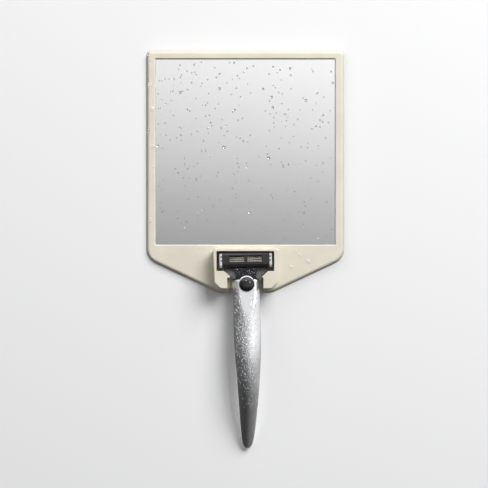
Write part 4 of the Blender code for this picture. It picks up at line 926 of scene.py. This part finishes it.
def make_blades():
    """Build the three ground blades. Each one's front is bent down, with its edge ground thin."""
    half = BAY_WIDTH / 2 - FIT_GAP
    thick = BLADE_THICKNESS / 2
    bend = BLADE_DEPTH / 2
    tip_reach = BEVEL_LENGTH * math.cos(BEVEL_TILT)
    tip_fall = BEVEL_LENGTH * math.sin(BEVEL_TILT)
    section = [
        (bend - BLADE_DEPTH, -thick, TINY_RADIUS),
        (bend - thick, -thick, TINY_RADIUS),
        (bend + tip_reach - thick / 2, -tip_fall, TINY_RADIUS),
        (bend + tip_reach, -tip_fall + thick / 2, TINY_RADIUS),
        (bend, thick, BEND_RADIUS),
        (bend - BLADE_DEPTH, thick, TINY_RADIUS),
    ]
    for number, rise in enumerate(BLADE_RISES, 1):
        reach = front_reach(rise) - COVER_THICKNESS - FIT_GAP - bend - tip_reach
        blade = crosswise(f"ground_blade_{number}", section, ((0.0, -half), (0.0, half)))
        blade.data.transform(Matrix.Translation((0.0, -reach, rise)) @ Matrix.Rotation(BLADE_TILT, 4, "X"))
        hang(blade, "blade_coat", "cartridge", f"blade_{number}", "steel")


def make_clips():
    """Build the metal bands round the cartridge's ends."""
    section = cartridge_corners()
    for name, side in (("left", -1), ("right", 1)):
        far = side * (CARTRIDGE_WIDTH / 2 - CLIP_SHOULDER)
        near = far - side * CLIP_WIDTH
        start, end = sorted((near, far))
        stations = [(inwards - FIT_GAP - CLIP_THICKNESS, across)
                    for inwards, across in edge_stations(start, end, CLIP_EDGE_RADIUS)]
        band = crosswise("clip_band_" + name, section, stations)
        cutters = [crosswise("clip_core", section, ((-FIT_GAP, start - OVERRUN), (-FIT_GAP, end + OVERRUN)))]
        low, high = sorted((near - side * OVERRUN, near + side * CLIP_NOTCH_WIDTH))
        for rise in CLIP_NOTCH_RISES:
            foot = (low, -GUARD_REACH - OVERRUN, rise)
            cutters.append(block(f"notch_{rise}", foot, (high, 0.0, rise + CLIP_NOTCH_HEIGHT)))
        carve(band, cutters)
        hang(band, "steel", "cartridge", "blade_clip_" + name)


def make_yoke():
    """Build the yoke: a wedge with a raised middle, two set-back wings and two ears with pins."""
    half = YOKE_WIDTH / 2
    places = ((YOKE_FOOT_WIDTH / 2, YOKE_BOTTOM), (half, YOKE_SIDE), (half, YOKE_TOP))
    stations = edge_stations(-YOKE_BACK, YOKE_FRONT, YOKE_BACK_EDGE_RADIUS, YOKE_FRONT_EDGE_RADIUS)
    yoke = standing("yoke_moulding", mirrored(rounded(places, YOKE_RADII)), stations)
    places = ((-YOKE_BACK, YOKE_SIDE), (-YOKE_BACK / 2, YOKE_SIDE - EAR_RADIUS), (EAR_RADIUS, YOKE_TOP),
              (EAR_RADIUS, EAR_RADIUS), (-EAR_RADIUS, EAR_RADIUS))
    ear = rounded(places, EAR_RADII)
    length = EAR_THICKNESS / 2 + PIN_REACH
    joined = []
    for side in (-1, 1):
        start, end = beside(side, EAR_INNER, EAR_INNER + EAR_THICKNESS)
        joined.append(crosswise(f"ear_{side}", ear, ((0.0, start), (0.0, end))))
        middle = side * (EAR_INNER + EAR_THICKNESS / 2 + length / 2)
        joined.append(cross_rod(f"pin_{side}", PIN_RADIUS, length, middle))
    carve(yoke, joined, "UNION")

    top = YOKE_TOP + 2 * OVERRUN
    end = YOKE_BOTTOM - OVERRUN
    places = ((WING_TOP_REACH, top), (WING_FOOT_REACH, YOKE_BOTTOM + WING_FOOT_RISE), (WING_END_REACH, end),
              (YOKE_WIDTH, end), (YOKE_WIDTH, top))
    wing = rounded(places, WING_RADII)
    hinge = Matrix.Translation((0.0, WING_SET_BACK - YOKE_FRONT, YOKE_BOTTOM))
    tilt = hinge @ Matrix.Rotation(-WING_TILT, 4, "X") @ Matrix.Translation((0.0, 0.0, -YOKE_BOTTOM))
    cutters = []
    for side, corners in ((-1, flipped(wing)), (1, wing)):
        cutter = standing(f"wing_{side}", corners, ((0.0, 0.0), (0.0, YOKE_WIDTH)))
        cutter.data.transform(tilt)
        cutters.append(cutter)
    half = HEEL_WIDTH / 2 + 2 * CORE_GAP
    low = (-half, HEEL_WELL_MARGIN, YOKE_TOP - HEEL_WELL_MARGIN)
    cutters.append(block("heel_well", low, (half, YOKE_BACK + OVERRUN, OVERRUN)))
    cutters.append(core_block("tongue_socket", TONGUE_WIDTH, YOKE_BOTTOM - OVERRUN, TONGUE_TOP + CORE_GAP))
    place = Matrix.Translation((0.0, CORE_SET_BACK, YOKE_BOTTOM / 2))
    cutters.append(rod("plunger_hole", BORE_RADIUS, -YOKE_BOTTOM, place))
    carve(yoke, cutters)
    hang(yoke, "blue_grey", "razor", "cartridge_yoke")
    # Front faces that tilt up towards the light get the lighter grey: painted light and sheen, not a colour
    # of the plastic
    yoke.data.materials.append(LOOKS["painted_light_grey"])
    least, most = PAINTED_LIGHT_TILT_SHARES
    for face in yoke.data.polygons:
        if least < face.normal.z < most and face.normal.y < 0:
            face.material_index = 1
    return yoke


def eased(shares, at):
    """Return a table of shares read between its entries on a smooth curve, at a share of the length."""
    last = len(FALL_SHARES) - 1
    index = max(i for i in range(last) if FALL_SHARES[i] <= at or i == 0)

    def slope(i):
        low = max(i - 1, 0)
        high = min(i + 1, last)
        return (shares[high] - shares[low]) / (FALL_SHARES[high] - FALL_SHARES[low])

    span = FALL_SHARES[index + 1] - FALL_SHARES[index]
    part = (at - FALL_SHARES[index]) / span
    start = (2 * part ** 3 - 3 * part ** 2 + 1) * shares[index]
    start_turn = (part ** 3 - 2 * part ** 2 + part) * span * slope(index)
    end = (3 * part ** 2 - 2 * part ** 3) * shares[index + 1]
    end_turn = (part ** 3 - part ** 2) * span * slope(index + 1)
    return start + start_turn + end + end_turn


def facet_reach(fall):
    """Return how far the facet stands out from the pivot, at a distance below the handle's top."""
    return FACET_END_REACH - (FACET_LENGTH - fall) * math.tan(FACET_TILT)


def soft_least(first, second, crease):
    """Return the lesser of two values, with a small round where they cross."""
    near = max(crease - abs(first - second), 0.0) / crease
    return min(first, second) - near * near * crease / 4


def handle_ring(at):
    """Return the handle's section at a share of its length, with the flat facet on its upper front."""
    fall = HANDLE_LENGTH * at
    half_width = HANDLE_WIDTH / 2 * eased(WIDTH_SHARES, at)
    back = HANDLE_BACK - HANDLE_SPAN * eased(BACK_SHARES, at)
    front = HANDLE_BACK - HANDLE_SPAN * eased(FRONT_SHARES, at)
    widest = back + (front - back) * WIDEST_SHARE
    ring = []
    for step in range(RING_STEPS):
        angle = 2 * math.pi * (step + 0.5) / RING_STEPS
        across = math.cos(angle)
        facing = math.sin(angle) > 0
        front_shares = (eased(CROWN_SHARES, at), FRONT_CURVE_SHARE)
        across_share, rise_share = front_shares if facing else BACK_CURVE_SHARES
        bow = (1 - abs(across) ** across_share) ** rise_share
        depth = widest + ((front if facing else back) - widest) * bow
        if facing:
            depth = -soft_least(-depth, facet_reach(fall), FACET_CREASE)
        ring.append((half_width * across - depth * math.tan(HANDLE_TURN), depth, HANDLE_TOP - fall))
    return ring


def facet_place():
    """Return the place of the button's centre, with its own -Y out of the facet and +Z up it."""
    reach = facet_reach(BUTTON_FALL)
    centre = Vector((reach * math.tan(HANDLE_TURN), -reach, HANDLE_TOP - BUTTON_FALL))
    facing = Matrix.Rotation(HANDLE_TURN, 4, "Z") @ Matrix.Rotation(-FACET_TILT, 4, "X")
    return SEAT @ Matrix.Translation(centre) @ facing


def make_handle():
    """Build the handle, hollowed for the core, the slider and the button's stem."""
    stations = [low + (high - low) * step / RINGS_PER_SPAN
                for low, high in zip(FALL_SHARES, FALL_SHARES[1:]) for step in range(RINGS_PER_SPAN)]
    handle = skin("razor_handle", [handle_ring(at) for at in stations + [1.0]])
    socket = core_block("core_socket", CORE_WIDTH, -CORE_FALL - CORE_GAP, 0.0)
    half = SLIDER_WIDTH / 2
    channel = block("slider_channel", (-half, SLIDER_COVER, -SLIDER_FALL), (half, SLIDER_BACK, HANDLE_WIDTH))
    half = STEM_RADIUS + STEM_GAP
    slot = block("stem_slot", (-half, -OVERRUN, -half), (half, SLIDER_COVER + STEM_GAP, HANDLE_WIDTH))
    for piece, place in ((handle, SEAT), (socket, SEAT), (channel, facet_place()), (slot, facet_place())):
        piece.data.transform(place)
    carve(handle, [socket, channel, slot])
    return finish(handle, "satin_silver", "razor", "handle_body")


def make_button():
    """Build the glossy release button and the bright rim round it."""
    place = facet_place() @ OUTWARDS
    rim_top = RIM_BASE + RIM_THICKNESS
    edge = RIM_THICKNESS / 2
    foot = (RIM_BORE_RADIUS, RIM_BASE)
    profile = [foot, (RIM_RADIUS, RIM_BASE)]
    profile += [(RIM_RADIUS - edge * (1 - math.cos(angle)), rim_top - edge * (1 - math.sin(angle)))
                for angle in quarter_turn(ROUND_STEPS)]
    rim = turned("bright_rim", profile + [(RIM_BORE_RADIUS, rim_top), foot], place)
    finish(rim, "steel", "release", "button_rim", "satin_silver")

    base = rim_top + FIT_GAP
    stem_end = -SLIDER_COVER - STEM_END_GAP
    profile = [(0.0, stem_end), (STEM_RADIUS, stem_end), (STEM_RADIUS, base)]
    profile += [(BUTTON_RADIUS * math.cos(angle), base + BUTTON_HEIGHT * math.sin(angle))
                for angle in quarter_turn(4 * ROUND_STEPS)[:-1]]
    button = turned("gloss_button", profile + [(0.0, base + BUTTON_HEIGHT)], Matrix.Identity(4))
    for vertex in button.data.vertices:
        if vertex.co.z >= base:
            vertex.co.x *= BUTTON_WIDENING
            vertex.co.y -= BUTTON_SHIFT
    button.data.transform(place)
    finish(button, "gloss_black", "release", "release_button", "black_plastic")


def make_plunger_coil():
    """Copy the plunger's hidden spring as a piece on the razor, in place of its CAD node."""
    node = "plunger_spring"
    coil = link_object("plunger_coil", frame["nodes"][node].data.copy())
    place_piece(coil, "steel", "razor", "steel", node)
    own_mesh(coil)


def add_drop(edit, place, radius, height, stretch):
    """Add one closed drop to a bmesh, sitting on the place's XY plane."""
    turns = [2 * math.pi * step / DROP_STEPS for step in range(DROP_STEPS)]
    rings = []
    for share in DROP_RING_SHARES:
        level = height * math.sqrt(max(1 - share * share, 0.0)) - DROP_SINK
        points = [(radius * share * math.cos(turn), radius * share * stretch * math.sin(turn), level)
                  for turn in turns]
        rings.append([edit.verts.new(place @ Vector(point)) for point in points])
    join_rings(edit, rings)
    top = edit.verts.new(place @ Vector((0.0, 0.0, height)))
    for index, corner in enumerate(rings[-1]):
        edit.faces.new((corner, rings[-1][(index + 1) % DROP_STEPS], top))
    edit.faces.new(rings[0][::-1])


def scatter(name, target, body, look, seeds):
    """Lay drops that don't touch on a piece, cast from the front.

    Each comes from (across, up, radius, height share, stretch, tilt).
    """
    edit = bmesh.new()
    edit.from_mesh(target.data)
    surface = BVHTree.FromBMesh(edit)
    edit.clear()
    laid = []
    for across, up, radius, height_share, stretch, tilt in seeds:
        point, normal, _, _ = surface.ray_cast(Vector((across, CAST_START, up)), Vector((0.0, 1.0, 0.0)))
        if point is None or point.y - radius * height_share < cad_box[0][1]:
            continue
        reach = radius * stretch
        if any((point - other).length < DROP_SPACING_SHARE * (reach + room) for other, room in laid):
            continue
        laid.append((point, reach))
        turn = normal.to_track_quat("Z", "Y").to_matrix().to_4x4()
        place = Matrix.Translation(point) @ turn @ Matrix.Rotation(tilt, 4, "Z")
        add_drop(edit, place, radius, radius * height_share, stretch)
    drops = solid(name, edit)
    drops.data.shade_smooth()
    drops.visible_shadow = False
    drops.visible_diffuse = False
    place_piece(drops, look, body, None)


def draw_drop(chance, kind, smaller=0.0, flatter=0.0):
    """Draw a drop's radius, height share, stretch and tilt. It may be smaller and flatter than its kind."""
    least, spread, power, height_share, stretches, tilts = kind
    radius = (least - smaller + spread * chance.random() ** power) * MM
    return radius, height_share - flatter, chance.uniform(*stretches), chance.uniform(*tilts)


# The larger drops on the mirror: across, up and radius in millimetres, from the middle of the window
LARGE_DROPS = (
    (-48.6, 44.6, 0.85), (-19.3, 47.2, 0.8), (13.4, 47.0, 0.7), (19.5, 41.0, 0.8), (45.2, 38.6, 0.85),
    (20.5, 33.0, 0.8), (-15.8, 3.6, 0.9), (17.4, -4.4, 0.95), (-65.0, 4.4, 0.7), (58.0, 27.4, 0.6),
    (-8.4, 31.4, 0.65), (33.4, 62.4, 0.7), (65.2, 51.5, 0.7), (-23.0, 62.6, 0.6), (36.8, -31.2, 0.6),
    (43.6, -45.0, 0.65), (-62.2, -44.6, 0.6), (3.0, -45.0, 0.7), (-50.4, -15.6, 0.6), (-43.4, 31.6, 0.6),
)


def mirror_seeds(chance):
    """Yield the drops on the mirror: chosen large ones and many small ones, thinner towards the bottom."""
    low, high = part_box("mirror_plate")
    for across, up, radius in LARGE_DROPS:
        yield across * MM, up * MM, LARGE_DROP_SCALE * radius * MM, *LARGE_DROP_SHAPE
    height = high.z - low.z - 2 * DROP_MARGIN
    for _ in range(MIRROR_DROPS):
        across = chance.uniform(low.x + DROP_MARGIN, high.x - DROP_MARGIN)
        up = low.z + DROP_MARGIN + height * chance.random() ** MIRROR_DROP_THINNING
        yield across, up, *draw_drop(chance, MIRROR_DROP)


def chin_seeds(chance):
    """Yield the drops on the frame's left border and its chin."""
    low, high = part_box("front_frame")
    lowest, highest = (rise - SHOULDER_DROP for rise in CHIN_DROP_RISES)
    for _ in range(CHIN_DROPS):
        across = chance.uniform(low.x + DROP_MARGIN, high.x - DROP_MARGIN)
        up = chance.uniform(lowest, highest)
        if chance.random() < BORDER_DROP_SHARE:
            across = low.x + chance.uniform(*BORDER_DROP_LIMITS) * MM
            up = chance.uniform(low.z / 2, high.z)
        yield across, up, *draw_drop(chance, CHIN_DROP)


def handle_seeds(chance):
    """Yield the beads on the handle: dense on its upper left flank, and finer down to its middle."""
    middle, drift = BEAD_DRIFTING_SHARES
    bare_left, bare_drift = BARE_DRIFTING_SHARES
    for _ in range(HANDLE_BEADS):
        share = chance.triangular(0.0, 1.0, BEAD_DENSE_SHARE)
        fall = HANDLE_LENGTH * (BEAD_START_SHARE + BEAD_SPAN_SHARE * share)
        side_share = chance.triangular(*BEAD_SIDE_SHARES, middle + drift * share)
        bare = bare_left + bare_drift * fall / FACET_LENGTH < side_share < BARE_RIGHT_SHARE
        if bare and fall < FACET_LENGTH:
            continue
        place = SEAT @ Vector((HANDLE_WIDTH / 2 * side_share, 0.0, HANDLE_TOP - fall))
        lessening = (BEAD_SHRINKING * share, BEAD_FLATTENING_SHARE * share)
        yield place.x, place.z, *draw_drop(chance, HANDLE_BEAD, *lessening)


def yoke_seeds(chance):
    """Yield the fine drops on the yoke's front."""
    for _ in range(YOKE_DROPS):
        across = chance.uniform(-YOKE_WIDTH, YOKE_WIDTH) / 2
        up = PIVOT.z + chance.triangular(YOKE_BOTTOM, YOKE_TOP, YOKE_TOP)
        yield across, up, *draw_drop(chance, YOKE_DROP)


def dress_cad_nodes():
    """Give each CAD node that still shows its material, and round the edges of the flat ones."""
    slots = {row["node"]: row["material_slot"] for row in frame["record"]["subparts"]}
    for name, node in frame["nodes"].items():
        if node.hide_render:
            continue
        node.data.materials.clear()
        node.data.materials.append(LOOKS[slots[name]])
        if name in ("wall_grip_pad", "back_plate", "mirror_plate"):
            weld = node.modifiers.new("weld", "WELD")
            weld.merge_threshold = NODE_WELD_DISTANCE
            rounding = node.modifiers.new("edge_rounding", "BEVEL")
            rounding.width = NODE_EDGE_RADIUS
            rounding.segments = 3


def one_sided(name):
    """Return a plain pale paint that shows from its front only."""
    look, tree, shader, _ = new_material(name, PALE[:3], 0.9)
    gap = add_node(tree, "BsdfTransparent", {})
    side = add_node(tree, "NewGeometry", {})
    shaders = {0: side.outputs["Backfacing"], 1: shader.outputs["BSDF"], 2: gap.outputs["BSDF"]}
    mixed = add_node(tree, "MixShader", shaders)
    tree.links.new(mixed.outputs["Shader"], tree.nodes["Material Output"].inputs["Surface"])
    return look


def make_stage():
    """Build the pale wall, the pale floor and the studio that the metal and the mirror reflect."""
    half = WALL_SIZE / 2
    wall_place = Matrix.Translation((0.0, WALL_SET_BACK, FLOOR_HEIGHT + half)) @ OUTWARDS
    floor_place = Matrix.Translation((0.0, WALL_SET_BACK - half, FLOOR_HEIGHT))
    for name, place in (("studio_wall", wall_place), ("studio_floor", floor_place)):
        edit = bmesh.new()
        bmesh.ops.create_grid(edit, x_segments=2, y_segments=2, size=half)
        sheet = from_bmesh(name, edit)
        sheet.data.transform(place)
        sheet.data.materials.append(one_sided(name + "_paint"))
        sheet.visible_diffuse = False
        sheet.visible_shadow = False
        sheet.visible_glossy = False
        sheet.visible_transmission = False
        sheet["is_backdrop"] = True
    make_studio_dome()


def make_studio_dome():
    """Build the surroundings that show only in reflections: light above and to the right, dark below."""
    edit = bmesh.new()
    bmesh.ops.create_uvsphere(edit, u_segments=48, v_segments=32, radius=STUDIO_RADIUS)
    dome = from_bmesh("studio_dome", edit)
    dome.data.transform(Matrix.Translation((CAMERA_SIDE, 0.0, CAMERA_HEIGHT)))
    dome.data.shade_smooth()
    dome.visible_camera = False
    dome.visible_diffuse = False
    dome.visible_shadow = False
    dome.visible_volume_scatter = False

    look = bpy.data.materials.new("studio_dome_light")
    look.use_nodes = True
    tree = look.node_tree
    tree.nodes.clear()
    places = add_node(tree, "TexCoord", {}).outputs["Object"]
    parts = add_node(tree, "SeparateXYZ", {"Vector": places}).outputs
    sides = followed(tree, parts["X"], GLOW_SIDES)
    sides = combined(tree, "MAXIMUM", sides, followed(tree, parts["Z"], EVEN_HEIGHTS))
    strength = combined(tree, "MULTIPLY", followed(tree, parts["Z"], GLOW_HEIGHTS), sides)
    glow = add_node(tree, "Emission", {"Strength": strength})
    add_node(tree, "OutputMaterial", {"Surface": glow.outputs["Emission"]})
    dome.data.materials.append(look)
    dome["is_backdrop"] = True


def followed(tree, source, points):
    """Return a socket that follows points of (source, value) and stays level outside them."""
    low, high = points[0][0], points[-1][0]
    top = max(value for _, value in points)
    share = add_node(tree, "MapRange", {"From Min": low, "From Max": high, "Value": source})
    stops = [((place - low) / (high - low), value / top) for place, value in points]
    return combined(tree, "MULTIPLY", ramp(tree, share.outputs["Result"], stops), top)


def make_world():
    """Light the scene softly from all sides. The camera, metal and glass see a pale background."""
    world = bpy.data.worlds.new("pale_room")
    bpy.context.scene.world = world
    world.use_nodes = True
    tree = world.node_tree
    tree.nodes.clear()
    rays = add_node(tree, "LightPath", {}).outputs
    seen = combined(tree, "MAXIMUM", rays["Is Camera Ray"], rays["Is Glossy Ray"])
    seen = combined(tree, "MAXIMUM", seen, rays["Is Transmission Ray"])
    fill = add_node(tree, "Background", {"Color": AMBIENT_COLOUR, "Strength": AMBIENT_STRENGTH})
    shown = add_node(tree, "Background", {"Color": PALE})
    shaders = {0: seen, 1: fill.outputs["Background"], 2: shown.outputs["Background"]}
    mixed = add_node(tree, "MixShader", shaders)
    add_node(tree, "OutputWorld", {"Surface": mixed.outputs["Shader"]})


def add_lamp(name, place, power, size):
    """Return a square lamp that points at the object."""
    light = bpy.data.lights.new(name, "AREA")
    light.energy = power
    light.size = size
    lamp = link_object(name, light)
    lamp.location = place
    lamp.rotation_euler = (LIGHT_TARGET - place).to_track_quat("-Z", "Y").to_euler()
    return lamp


def make_lights_and_camera():
    """Set up a key light from the upper right, a fill from the left, two small lamps and the camera.

    The key passes the thin frame, which has next to no shadow in the photograph.
    """
    key = add_lamp("key", KEY_PLACE, KEY_POWER, KEY_SIZE)
    key.visible_glossy = False
    passed = bpy.data.collections.new("passed_by_key")
    passed.objects.link(moulding)
    key.light_linking.blocker_collection = passed
    passed.collection_objects[0].light_linking.link_state = "EXCLUDE"
    fill = add_lamp("fill", FILL_PLACE, FILL_POWER, FILL_SIZE)
    fill.visible_glossy = False
    fill.visible_transmission = False
    for index, place in enumerate(SPARKLE_PLACES):
        sparkle = add_lamp(f"sparkle_{index + 1}", place, SPARKLE_POWER, SPARKLE_SIZE)
        sparkle.visible_transmission = False

    low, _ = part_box("front_frame")
    camera = link_object("camera", bpy.data.cameras.new("camera"))
    camera.data.lens = camera.data.sensor_width * CAMERA_DISTANCE / VIEW_WIDTH
    camera.location = (CAMERA_SIDE, low.y - CAMERA_DISTANCE, CAMERA_HEIGHT)
    camera.rotation_euler = (math.pi / 2, 0.0, 0.0)
    bpy.context.scene.camera = camera
    bpy.context.scene.view_settings.view_transform = "Standard"


moulding = make_frame()
make_cradle()
make_housing()
make_strips()
make_blades()
make_clips()
yoke = make_yoke()
handle = make_handle()
make_button()
make_plunger_coil()
chance = random.Random(DROP_SEED)
film = frame["nodes"]["anti_fog_film"]
scatter("mirror_water_drops", film, "mirror_unit", "water", mirror_seeds(chance))
scatter("frame_water_drops", moulding, "mirror_unit", "water", chin_seeds(chance))
scatter("handle_water_beads", handle, "razor", "bead_water", handle_seeds(chance))
scatter("yoke_water_drops", yoke, "razor", "bead_water", yoke_seeds(chance))
dress_cad_nodes()
make_stage()
make_world()
make_lights_and_camera()

sizes = {"cad": cad_box, "scene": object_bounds()}
{name: [list(corner) for corner in box] for name, box in sizes.items()}
